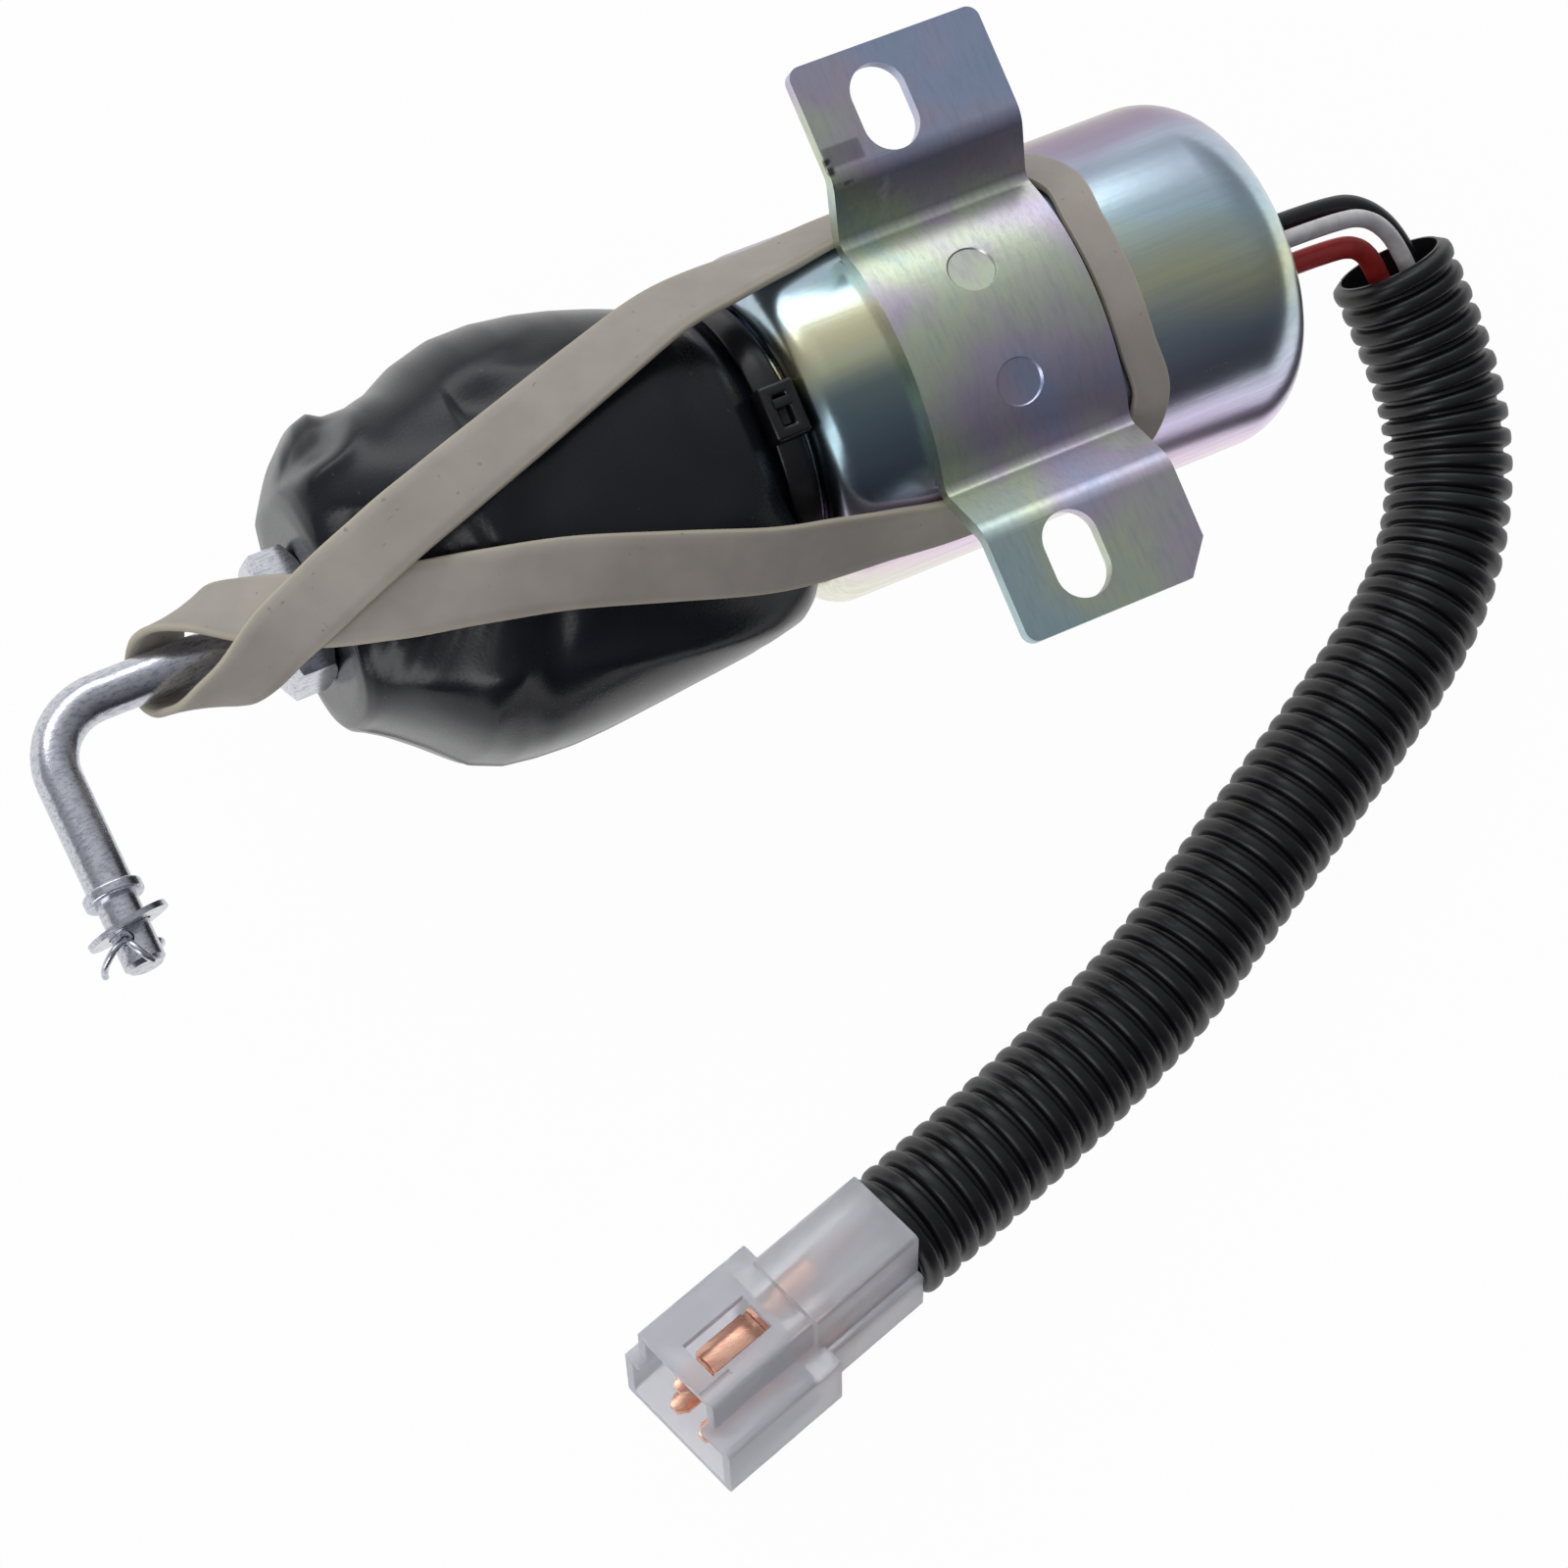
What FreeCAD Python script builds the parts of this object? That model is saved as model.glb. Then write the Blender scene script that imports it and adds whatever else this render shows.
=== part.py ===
import FreeCAD, Part
import math
import os

# Fuel shutoff solenoid, rest pose: plunger drawn in.
# Frame in mm: origin at the middle of the two bracket slots, on the outer face of the tabs.
# +X runs along the solenoid to its wire end, +Y towards one tab, +Z out of the tab faces.

V = FreeCAD.Vector

# Solenoid can
CAN_R = 22.225
STRAP_T = 2.0
TAB_LIFT = 0.475
AXIS_DROP = CAN_R + STRAP_T + TAB_LIFT
FLOOR_Z = -AXIS_DROP - CAN_R
CAN_FRONT_X = -22.4
CAN_REAR_X = 46.0
CAN_WALL = 1.6
CAN_FRONT_EDGE_R = 4.4
CAN_REAR_EDGE_R = 10.0
LIP_R = CAN_R - 5.025

# Mounting bracket
SLOT_HALF_SPACING = 28.575
SLOT_W = 7.1
SLOT_L = 10.8
STRAP_FRONT_X = -9.8
STRAP_REAR_X = 15.6
TAB_TIP_Y = SLOT_HALF_SPACING + 7.825
SADDLE_HALF_ANGLE = 37.5
TAB_RISE_ANGLE = 45.0
VALLEY_BEND_R = 2.5
TAB_BEND_R = 3.0
CORNER_CUT_X = 3.3
CORNER_CUT_Y = 4.1
CORNER_R = 2.0
WELD_R = 3.2
WELD_DEPTH = 0.35
WELD_HALF_PITCH = 7.25
WELD_X = 2.6

# Neck, boot and tie
NECK_R = LIP_R - 2.0
NECK_END_X = CAN_FRONT_X - 6.0
BOOT_WALL = 1.5
BOOT_MAX_R = NECK_R + 9.1
BOOT_FRONT_X = -81.6
BOOT_FRONT_R = BOOT_MAX_R - 9.7
BOOT_FLOOR_GAP = 0.4
TIE_REAR_X = CAN_FRONT_X - 0.5
TIE_W = 3.7
TIE_T = 1.5
TIE_HEAD = (4.9, 6.8, 4.4)

# Magnetic circuit inside the can
PLATE_T = 4.0
TUBE_R = NECK_R - 4.5
TUBE_T = 0.6
CORE_BORE_R = TUBE_R - TUBE_T
POLE_X = 24.0
POLE_DISC_T = 6.0
BOBBIN_CORE_R = TUBE_R + 1.5
FLANGE_R = CAN_R - CAN_WALL - 0.425
FLANGE_T = 1.6
WINDING_R = FLANGE_R - 0.6
MID_FLANGE_X = 12.0

# Plunger, rod and nut
STROKE = 25.4
CORE_R = CORE_BORE_R - 0.4
CORE_FRONT_X = NECK_END_X + 2.4
CORE_GAP = 0.5
ROD_R = 2.8
ROD_SOCKET_X = -12.0
NUT_AF = 15.9
NUT_T = 5.6
JAM_AF = 11.0
JAM_T = 3.6
SEAT_R = 13.2
SEAT_T = 1.8
ELBOW_X = -116.4
ELBOW_R = 8.0
LEG_TILT = 14.0
LEG_COLLAR = 22.9
LEG_COLLAR_R = 3.6
LEG_COLLAR_T = 1.5
LEG_PIN_R = 2.5
LEG_HOLE = 28.9
LEG_TIP = 32.2
COTTER_R = 0.75
WASHER_R = 5.1
WASHER_BORE_R = 2.75
WASHER_T = 0.7
WASHER_GAP = 0.85
WASHER_TILT = 9.0
WASHER_ROLL = 8.0

# Return spring
SPRING_WIRE_R = 0.9
SPRING_R = 11.4
SPRING_TURNS = 8

# Lead grommet and wires
GROMMET_Y = -1.0
GROMMET_Z = 0.5
GROMMET_R = 6.0
GROMMET_END_X = CAN_REAR_X + 4.0
WIRE_BLACK_D = 2.6
WIRE_WHITE_D = 2.3
WIRE_RED_D = 2.9

# Conduit, centreline points from the can to the connector
CONDUIT_D = 16.5
CONDUIT_BORE = 13.4
CONDUIT_Z = FLOOR_Z + CONDUIT_D / 2
PLUG_LIFT = 1.9
CONDUIT_ROUTE = [
    (68.3, -7.5, -31.5),
    (70.8, -21.0, -35.5),
    (68.6, -34.6, -38.2),
    (60.4, -47.2, CONDUIT_Z),
    (46.4, -57.0, CONDUIT_Z),
    (22.5, -70.0, CONDUIT_Z),
    (-7.0, -85.8, CONDUIT_Z),
    (-43.7, -95.5, CONDUIT_Z + PLUG_LIFT),
]
LEAD_GUIDE = [(58.0, -1.0, -24.2), (65.0, -1.6, -27.0), (69.3, -6.5, -30.7)]

# Connector, in its own frame: u to the mouth, w across, t up
PLUG_ROLL = 28.0
REAR_U = 15.4
PLUG_U = 33.5
REAR_LOW = (-6.6, 7.4, 0.7, 8.8)
REAR_TOP = (-5.0, 6.4, 8.8, 17.9)
MOUTH_LOW = (-9.1, 9.5, 0.0, 10.4)
MOUTH_TOP = (-7.8, 5.6, 10.4, 16.4)
PLUG_WALL = 1.3
WEB_U = 18.8
CAVITIES = {"left": (-1.6, 4.6), "right": (3.4, 4.6), "top": (-0.6, 12.0)}
BLADE_W = 2.8
BOX_W = 3.6
BLADE_T = 0.8
BOX_H = 2.4
BARREL_U = (3.5, 10.0)
BARREL_R = 1.7
BOX_U = (10.0, 22.0)
BLADE_END_U = 32.6

# Elastic band holding the plunger in, as (X, angle from +Z towards +Y, radius, width)
BAND_T = 1.0
BAND_CAN_R = CAN_R + 0.725
BAND_BOOT_R = BOOT_MAX_R + 1.6
BAND_ROUTE = [
    (18.9, 0.0, BAND_CAN_R, 5.0), (18.9, 20.0, BAND_CAN_R, 5.0), (19.4, 38.0, BAND_CAN_R, 5.0),
    (15.5, 53.0, BAND_CAN_R, 5.4), (5.0, 55.0, BAND_CAN_R, 6.6), (-8.0, 54.5, BAND_CAN_R, 6.8),
    (-17.0, 50.5, BAND_CAN_R, 7.6), (-25.0, 44.5, BAND_BOOT_R - 1.7, 8.4),
    (-34.0, 37.5, BAND_BOOT_R - 0.2, 8.4),
    (-44.0, 29.0, BAND_BOOT_R, 8.4),
    (-56.0, 19.5, BAND_BOOT_R, 8.4), (-67.0, 11.5, BAND_BOOT_R - 0.3, 8.4),
    (-76.0, 5.0, BAND_BOOT_R - 1.2, 8.4),
    (-83.8, -2.0, BAND_BOOT_R - 6.2, 8.4), (-90.0, -14.0, 13.6, 8.2), (-95.5, -45.0, 7.8, 7.8),
    (-98.8, -90.0, 4.7, 7.4), (-100.2, -140.0, 3.8, 7.2), (-100.4, -180.0, 3.5, 7.0),
    (-99.8, -222.0, 3.7, 7.2), (-98.4, -268.0, 4.7, 7.4),
    (-95.0, -313.0, 6.8, 7.8), (-90.0, -344.0, 9.2, 8.4), (-84.5, -356.0, BAND_BOOT_R - 11.4, 8.4),
    (-77.0, -363.5, BAND_BOOT_R - 5.4, 8.4), (-68.0, -371.0, BAND_BOOT_R - 1.4, 8.4),
    (-57.0, -379.5, BAND_BOOT_R, 8.4),
    (-45.0, -389.0, BAND_BOOT_R, 8.4), (-34.0, -397.5, BAND_BOOT_R - 0.2, 8.4),
    (-25.0, -404.5, BAND_BOOT_R - 1.7, 8.4),
    (-17.0, -410.5, BAND_CAN_R, 7.6), (-8.0, -414.5, BAND_CAN_R, 6.8), (5.0, -415.0, BAND_CAN_R, 6.6),
    (15.5, -413.0, BAND_CAN_R, 5.4), (19.4, -398.0, BAND_CAN_R, 5.0), (18.9, -380.0, BAND_CAN_R, 5.0),
]


def axis_z(h):
    return h - AXIS_DROP


def revolve(profile):
    """Turn an (x, radius) outline about the solenoid axis."""
    pts = [V(x, 0, axis_z(r)) for x, r in profile]
    face = Part.Face(Part.makePolygon(pts + [pts[0]]))
    return face.revolve(V(0, 0, -AXIS_DROP), V(1, 0, 0), 360)


def disc(r, x0, x1, y=0.0, h=0.0):
    return Part.makeCylinder(r, x1 - x0, V(x0, y, axis_z(h)), V(1, 0, 0))


def ring(r_out, r_in, x0, x1):
    return disc(r_out, x0, x1).cut(disc(r_in, x0 - 1, x1 + 1))


def box(x0, x1, y0, y1, z0, z1):
    return Part.makeBox(x1 - x0, y1 - y0, z1 - z0, V(x0, y0, z0))


def circle_edges(shape, r, x):
    """Circular edges about the axis with this radius in the plane at x."""
    out = []
    for e in shape.Edges:
        c = e.Curve
        if isinstance(c, Part.Circle) and abs(c.Radius - r) < 1e-3 and abs(c.Center.x - x) < 1e-3:
            out.append(e)
    return out


def rounded_route(points, show=None):
    """Straight runs joined by tangent arcs, and the least arc radius."""
    pts = [V(*p) for p in points]
    edges, start, least = [], pts[0], 1e9
    for a, b, c in zip(pts, pts[1:], pts[2:]):
        d1, d2 = (b - a).normalize(), (c - b).normalize()
        turn = d1.getAngle(d2)
        cut = 0.45 * min((b - a).Length, (c - b).Length)
        least = min(least, cut / math.tan(turn / 2))
        p, q = b - d1 * cut, b + d2 * cut
        mid_dir = (d2 - d1).normalize()
        radius = cut / math.tan(turn / 2)
        mid = b + mid_dir * (radius / math.cos(turn / 2) - radius)
        edges.append(Part.LineSegment(start, p).toShape())
        edges.append(Part.Arc(p, mid, q).toShape())
        start = q
    edges.append(Part.LineSegment(start, pts[-1]).toShape())
    if show:
        print("%s least radius %.1f mm" % (show, least))
    return Part.Wire(edges), (pts[1] - pts[0]).normalize()


def tube_along(points, r, show=None):
    path, first = rounded_route(points, show)
    ring_edge = Part.makeCircle(r, V(*points[0]), first)
    return path.makePipeShell([Part.Wire(ring_edge)], True, True)


# Can, front plate and bracket

def can_shell():
    body = disc(CAN_R, CAN_FRONT_X, CAN_REAR_X)
    body = body.makeFillet(CAN_REAR_EDGE_R, circle_edges(body, CAN_R, CAN_REAR_X))
    body = body.makeFillet(CAN_FRONT_EDGE_R, circle_edges(body, CAN_R, CAN_FRONT_X))
    inner_r = CAN_R - CAN_WALL
    x0, x1 = CAN_FRONT_X + CAN_WALL, CAN_REAR_X - CAN_WALL
    hollow = disc(inner_r, x0, x1)
    hollow = hollow.makeFillet(CAN_REAR_EDGE_R - CAN_WALL, circle_edges(hollow, inner_r, x1))
    hollow = hollow.makeFillet(CAN_FRONT_EDGE_R - CAN_WALL, circle_edges(hollow, inner_r, x0))
    mouth = disc(LIP_R, CAN_FRONT_X - 1, x0 + 1)
    hole = disc(GROMMET_R, x1 - 1, CAN_REAR_X + 1, GROMMET_Y, GROMMET_Z)
    return body.cut(hollow).cut(mouth).cut(hole)


def front_plate():
    r = CAN_R - CAN_WALL
    x0 = CAN_FRONT_X + CAN_WALL
    plate = disc(r, x0, x0 + PLATE_T)
    plate = plate.makeFillet(CAN_FRONT_EDGE_R - CAN_WALL, circle_edges(plate, r, x0))
    neck = disc(NECK_R, NECK_END_X, x0)
    bead = revolve([(TIE_REAR_X + 0.1, NECK_R - 1), (TIE_REAR_X + 0.1, NECK_R + 0.9),
                    (CAN_FRONT_X + 0.4, NECK_R + 0.9), (CAN_FRONT_X + 0.4, NECK_R - 1)])
    bore = disc(CORE_BORE_R, NECK_END_X - 1, x0 + PLATE_T + 1)
    seat = disc(TUBE_R, x0 + 1.5, x0 + PLATE_T + 1)
    return plate.fuse([neck, bead]).cut(bore).cut(seat).removeSplitter()


def strap_vertices():
    """Middle of the strap's section from the crown out to one tab, as (y, h, bend radius)."""
    mid_r = CAN_R + STRAP_T / 2
    a = math.radians(SADDLE_HALF_ANGLE)
    rise = math.radians(TAB_RISE_ANGLE)
    tab_h = AXIS_DROP - STRAP_T / 2
    cut = VALLEY_BEND_R * math.tan((a + rise) / 2)
    vy = mid_r * math.sin(a) + cut * math.cos(a)
    vh = mid_r * math.cos(a) - cut * math.sin(a)
    bend_y = vy + (tab_h - vh) / math.tan(rise)
    return [(0.0, mid_r / math.cos(a), mid_r), (vy, vh, VALLEY_BEND_R),
            (bend_y, tab_h, TAB_BEND_R), (TAB_TIP_Y, tab_h, 0)]


def strap_side(offset):
    """One edge of the strap's section, offset from its middle, as a list of edges."""
    half = strap_vertices()
    pts = [(-y, h, r) for y, h, r in reversed(half[1:])] + half
    n = len(pts)
    dirs = []
    for a, b in zip(pts, pts[1:]):
        d = V(0, b[0] - a[0], b[1] - a[1])
        dirs.append(d.normalize())
    edges = []

    def shifted(i, d):
        return V(0, pts[i][0], pts[i][1]) + V(0, -d.z, d.y) * offset

    start = shifted(0, dirs[0])
    for i in range(1, n - 1):
        d1, d2 = dirs[i - 1], dirs[i]
        turn = d1.getAngle(d2)
        left = (d1.y * d2.z - d1.z * d2.y) > 0
        cut = pts[i][2] * math.tan(turn / 2)
        r = pts[i][2] - offset if left else pts[i][2] + offset
        corner = V(0, pts[i][0], pts[i][1])
        p = corner - d1 * cut + V(0, -d1.z, d1.y) * offset
        q = corner + d2 * cut + V(0, -d2.z, d2.y) * offset
        inward = (d2 - d1).normalize()
        centre = corner + inward * (pts[i][2] / math.cos(turn / 2))
        mid = centre - inward * r
        if (p - start).Length > 1e-4:
            edges.append(Part.LineSegment(start, p).toShape())
        edges.append(Part.Arc(p, mid, q).toShape())
        start = q
    end = shifted(n - 1, dirs[-1])
    edges.append(Part.LineSegment(start, end).toShape())
    return edges


def mounting_bracket():
    upper, lower = strap_side(STRAP_T / 2), strap_side(-STRAP_T / 2)
    ends = [Part.LineSegment(upper[k].Vertexes[v].Point, lower[k].Vertexes[v].Point).toShape()
            for k, v in ((0, 0), (-1, 1))]
    face = Part.Face(Part.Wire(Part.__sortEdges__(upper + lower + ends)))
    face.translate(V(STRAP_FRONT_X, 0, -AXIS_DROP))
    strap = face.extrude(V(STRAP_REAR_X - STRAP_FRONT_X, 0, 0))
    for s in (-1, 1):
        tip = s * TAB_TIP_Y
        slot = box(-SLOT_W / 2, SLOT_W / 2, s * SLOT_HALF_SPACING - (SLOT_L - SLOT_W) / 2,
                   s * SLOT_HALF_SPACING + (SLOT_L - SLOT_W) / 2, -STRAP_T - 1, 1)
        for e in (-1, 1):
            y = s * SLOT_HALF_SPACING + e * (SLOT_L - SLOT_W) / 2
            slot = slot.fuse(Part.makeCylinder(SLOT_W / 2, STRAP_T + 2, V(0, y, -STRAP_T - 1)))
        strap = strap.cut(slot)
    tip = -TAB_TIP_Y
    cut = Part.makePolygon([V(STRAP_REAR_X - CORNER_CUT_X, tip - 1e-3, -4), V(STRAP_REAR_X + 1, tip - 1, -4),
                            V(STRAP_REAR_X + 1, tip + CORNER_CUT_Y * (1 + 1 / CORNER_CUT_X), -4),
                            V(STRAP_REAR_X - CORNER_CUT_X, tip - 1e-3, -4)])
    strap = strap.cut(Part.Face(cut).extrude(V(0, 0, 5)))
    corners = [(STRAP_FRONT_X, TAB_TIP_Y), (STRAP_REAR_X, TAB_TIP_Y), (STRAP_FRONT_X, -TAB_TIP_Y)]
    round_edges = []
    for e in strap.Edges:
        a, b = e.Vertexes[0].Point, e.Vertexes[-1].Point
        if abs(a.z - b.z) > STRAP_T - 0.01 and abs(a.x - b.x) < 1e-3 and abs(a.y - b.y) < 1e-3:
            if any(abs(a.x - x) < 1e-3 and abs(a.y - y) < 1e-3 for x, y in corners):
                round_edges.append(e)
    strap = strap.makeFillet(CORNER_R * 0.8, round_edges)
    for s in (-1, 1):
        a = math.asin(s * WELD_HALF_PITCH / (CAN_R + STRAP_T))
        d = V(0, math.sin(a), math.cos(a))
        base = V(WELD_X, 0, -AXIS_DROP) + d * (CAN_R + STRAP_T - WELD_DEPTH)
        strap = strap.cut(Part.makeCone(WELD_R - 0.4, WELD_R + 0.6, 1.4, base, d))
    return strap


# Windings and magnetic circuit

def coil_bobbin():
    x0 = CAN_FRONT_X + CAN_WALL + PLATE_T
    x1 = CAN_REAR_X - CAN_WALL - POLE_DISC_T
    core = disc(BOBBIN_CORE_R, x0, x1)
    flanges = [disc(FLANGE_R, x0, x0 + FLANGE_T), disc(FLANGE_R, x1 - FLANGE_T, x1),
               disc(FLANGE_R, MID_FLANGE_X, MID_FLANGE_X + FLANGE_T)]
    return core.fuse(flanges).cut(disc(TUBE_R, x0 - 1, x1 + 1)).removeSplitter()


def winding(x0, x1):
    body = ring(WINDING_R, BOBBIN_CORE_R, x0, x1)
    return body


def rear_pole_piece():
    x1 = CAN_REAR_X - CAN_WALL
    edge = CAN_REAR_EDGE_R - CAN_WALL
    big = disc(CAN_R - CAN_WALL, x1 - edge - 2, x1)
    big = big.makeFillet(edge, circle_edges(big, CAN_R - CAN_WALL, x1))
    plate = big.common(disc(CAN_R, x1 - POLE_DISC_T, x1))
    stem = disc(TUBE_R - TUBE_T, POLE_X, x1 - POLE_DISC_T + 0.5)
    lead_way = disc(GROMMET_R - 1.5, x1 - 1.2, x1 + 1, GROMMET_Y, GROMMET_Z)
    return plate.fuse(stem).cut(lead_way).removeSplitter()


def guide_tube():
    return ring(TUBE_R, TUBE_R - TUBE_T, CAN_FRONT_X + CAN_WALL + 1.5, CAN_REAR_X - CAN_WALL - POLE_DISC_T)


def closed_solid(rings, joined):
    """Solid of flat triangles over a row of rings, joined end to start or capped."""
    m, n = len(rings), len(rings[0])
    tris = []
    for i in range(m if joined else m - 1):
        a, b = rings[i], rings[(i + 1) % m]
        for k in range(n):
            j = (k + 1) % n
            tris += [(a[k], a[j], b[j]), (a[k], b[j], b[k])]
    if not joined:
        for k in range(1, n - 1):
            tris.append((rings[0][0], rings[0][k + 1], rings[0][k]))
            tris.append((rings[-1][0], rings[-1][k], rings[-1][k + 1]))
    faces = [Part.Face(Part.makePolygon([p, q, r, p])) for p, q, r in tris]
    solid = Part.Solid(Part.Shell(faces))
    if solid.Volume < 0:
        solid.reverse()
    return solid


def return_spring():
    """Coil between the neck's end and the seat washer, in short straight lengths of wire."""
    x0 = NECK_END_X - SPRING_WIRE_R
    x1 = BOOT_FRONT_X + BOOT_WALL + SEAT_T + SPRING_WIRE_R
    steps = 14
    total = int(SPRING_TURNS) * steps
    lead_angle = math.atan2(x0 - x1, 2 * math.pi * SPRING_R * total / steps)
    rings = []
    for i in range(total + 1):
        a = 2 * math.pi * i / steps
        out = V(0, math.sin(a), math.cos(a))
        along = V(1, 0, 0)
        round_way = V(0, math.cos(a), -math.sin(a))
        across = along * math.cos(lead_angle) - round_way * math.sin(lead_angle)
        mid = V(x1 + (x0 - x1) * i / total, 0, -AXIS_DROP) + out * SPRING_R
        rings.append([mid + (out * math.cos(b) + across * math.sin(b)) * SPRING_WIRE_R
                      for b in (math.radians(60 * k) for k in range(6))])
    return closed_solid(rings, False)


# Boot and cable tie

def boot_profile(t):
    """Outline of the boot, t inside its outer face."""
    f = BOOT_FRONT_X
    return [
        (TIE_REAR_X, NECK_R + BOOT_WALL - t), (TIE_REAR_X - TIE_W - 0.6, NECK_R + BOOT_WALL - t),
        (TIE_REAR_X - TIE_W - 2.2, NECK_R + 5.2 - t), (-31.5, BOOT_MAX_R - 1.2 - t),
        (-36.0, BOOT_MAX_R - t), (-60.0, BOOT_MAX_R - t), (-67.0, BOOT_MAX_R - 1.4 - t),
        (f + 7.0, BOOT_FRONT_R + 5.2 - t), (f + 1.5, BOOT_FRONT_R + 1.2 - t), (f + t, BOOT_FRONT_R - t * 0.5),
    ]


def boot():
    rear, front = TIE_REAR_X, BOOT_FRONT_X
    outer = revolve([(rear, 0)] + boot_profile(0) + [(front, 0)])
    inner = revolve([(rear + 1, 0), (rear + 1, NECK_R)] + boot_profile(BOOT_WALL)[1:] + [(front + BOOT_WALL, 0)])
    low = FLOOR_Z + BOOT_FLOOR_GAP
    outer = outer.common(box(-100, 0, -40, 40, low, 40))
    inner = inner.common(box(-100, 0, -40, 40, low + BOOT_WALL, 40))
    return outer.cut(inner).cut(disc(ROD_R, front - 1, front + 5))


def cable_tie():
    r0 = NECK_R + BOOT_WALL
    band = ring(r0 + TIE_T, r0, TIE_REAR_X - TIE_W, TIE_REAR_X)
    lx, ly, lz = TIE_HEAD
    mid = TIE_REAR_X - TIE_W / 2
    head = box(mid - lx / 2, mid + lx / 2 - 1.0, -ly / 2, ly / 2, axis_z(r0 + 0.4), axis_z(r0 + 0.4 + lz))
    edges = [e for e in head.Edges if abs(e.Vertexes[0].Point.z - e.Vertexes[1].Point.z) > 1]
    head = head.makeFillet(0.8, edges)
    top = axis_z(r0 + 0.4 + lz)
    pocket = box(mid - 1.7, mid + 0.7, -1.9, 1.2, top - 1.6, top + 1)
    tail = box(mid - 1.4, mid + 0.4, 1.0, 1.9, top - 0.5, top + 0.6)
    return band.fuse(head.cut(disc(r0, -60, 0))).cut(pocket).fuse(tail)


# Plunger, rod, nuts and the pin end

def plunger_core():
    x0, x1 = CORE_FRONT_X, POLE_X - CORE_GAP
    core = disc(CORE_R, x0, x1)
    core = core.makeChamfer(0.8, circle_edges(core, CORE_R, x0) + circle_edges(core, CORE_R, x1))
    return core.cut(disc(ROD_R, x0 - 1, ROD_SOCKET_X))


def hexagon(af, x0, x1, turn=0.0):
    r = af / math.sqrt(3)
    pts = []
    for k in range(7):
        a = math.radians(60 * k + turn)
        pts.append(V(x0, r * math.cos(a), axis_z(r * math.sin(a))))
    prism = Part.Face(Part.makePolygon(pts)).extrude(V(x1 - x0, 0, 0))
    c = 0.9
    limit = revolve([(x0, 0), (x0, af / 2 - 0.1), (x0 + c, r + 0.1), (x1 - c, r + 0.1), (x1, af / 2 - 0.1), (x1, 0)])
    return prism.common(limit)


def rod_lock_nut():
    x1 = BOOT_FRONT_X
    return hexagon(NUT_AF, x1 - NUT_T, x1, 20.0).cut(disc(ROD_R, x1 - NUT_T - 1, x1 + 1))


def spring_seat_washer():
    x0 = BOOT_FRONT_X + BOOT_WALL
    return ring(SEAT_R, ROD_R, x0, x0 + SEAT_T)


def inner_jam_nut():
    x0 = BOOT_FRONT_X + BOOT_WALL + SEAT_T
    return hexagon(JAM_AF, x0, x0 + JAM_T, 0.0).cut(disc(ROD_R, x0 - 1, x0 + JAM_T + 1))


def leg_frame():
    """Corner of the rod, direction of its leg, and the direction square to the leg."""
    a = math.radians(LEG_TILT)
    return V(ELBOW_X, 0, -AXIS_DROP), V(0, -math.cos(a), math.sin(a)), V(0, math.sin(a), math.cos(a))


def leg_cylinder(r, s0, s1):
    corner, d, n = leg_frame()
    return Part.makeCylinder(r, s1 - s0, corner + d * s0, d)


def hole_direction():
    corner, d, n = leg_frame()
    return (n * math.cos(math.radians(25)) + V(-1, 0, 0) * math.sin(math.radians(25))).normalize()


def link_rod():
    corner, d, n = leg_frame()
    start = V(ROD_SOCKET_X, 0, -AXIS_DROP)
    p, q = corner + V(ELBOW_R, 0, 0), corner + d * ELBOW_R
    inward = (V(1, 0, 0) + d).normalize()
    mid = corner + inward * (ELBOW_R * math.sqrt(2) - ELBOW_R)
    end = corner + d * (LEG_COLLAR + LEG_COLLAR_T / 2)
    path = Part.Wire([Part.LineSegment(start, p).toShape(), Part.Arc(p, mid, q).toShape(),
                      Part.LineSegment(q, end).toShape()])
    rod = path.makePipeShell([Part.Wire(Part.makeCircle(ROD_R, start, V(-1, 0, 0)))], True, True)
    s0, s1 = LEG_COLLAR - LEG_COLLAR_T / 2, LEG_COLLAR + LEG_COLLAR_T / 2
    collar = leg_cylinder(LEG_COLLAR_R, s0, s1)
    collar = collar.makeFillet(0.35, [e for e in collar.Edges if isinstance(e.Curve, Part.Circle)])
    pin = leg_cylinder(LEG_PIN_R, s1, LEG_TIP - 0.5)
    tip = Part.makeCone(LEG_PIN_R, LEG_PIN_R - 0.5, 0.5, corner + d * (LEG_TIP - 0.5), d)
    hd = hole_direction()
    hole = Part.makeCylinder(COTTER_R + 0.1, 12, corner + d * LEG_HOLE - hd * 6, hd)
    return rod.fuse([collar, pin, tip]).cut(hole).removeSplitter()


def pin_washer():
    corner, d, n = leg_frame()
    s = LEG_HOLE - COTTER_R - WASHER_T - WASHER_GAP
    body = leg_cylinder(WASHER_R, s, s + WASHER_T).cut(leg_cylinder(WASHER_BORE_R, s - 1, s + 2))
    middle = corner + d * (s + WASHER_T / 2)
    body.rotate(middle, n, WASHER_TILT)
    body.rotate(middle, V(1, 0, 0), WASHER_ROLL)
    return body


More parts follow.
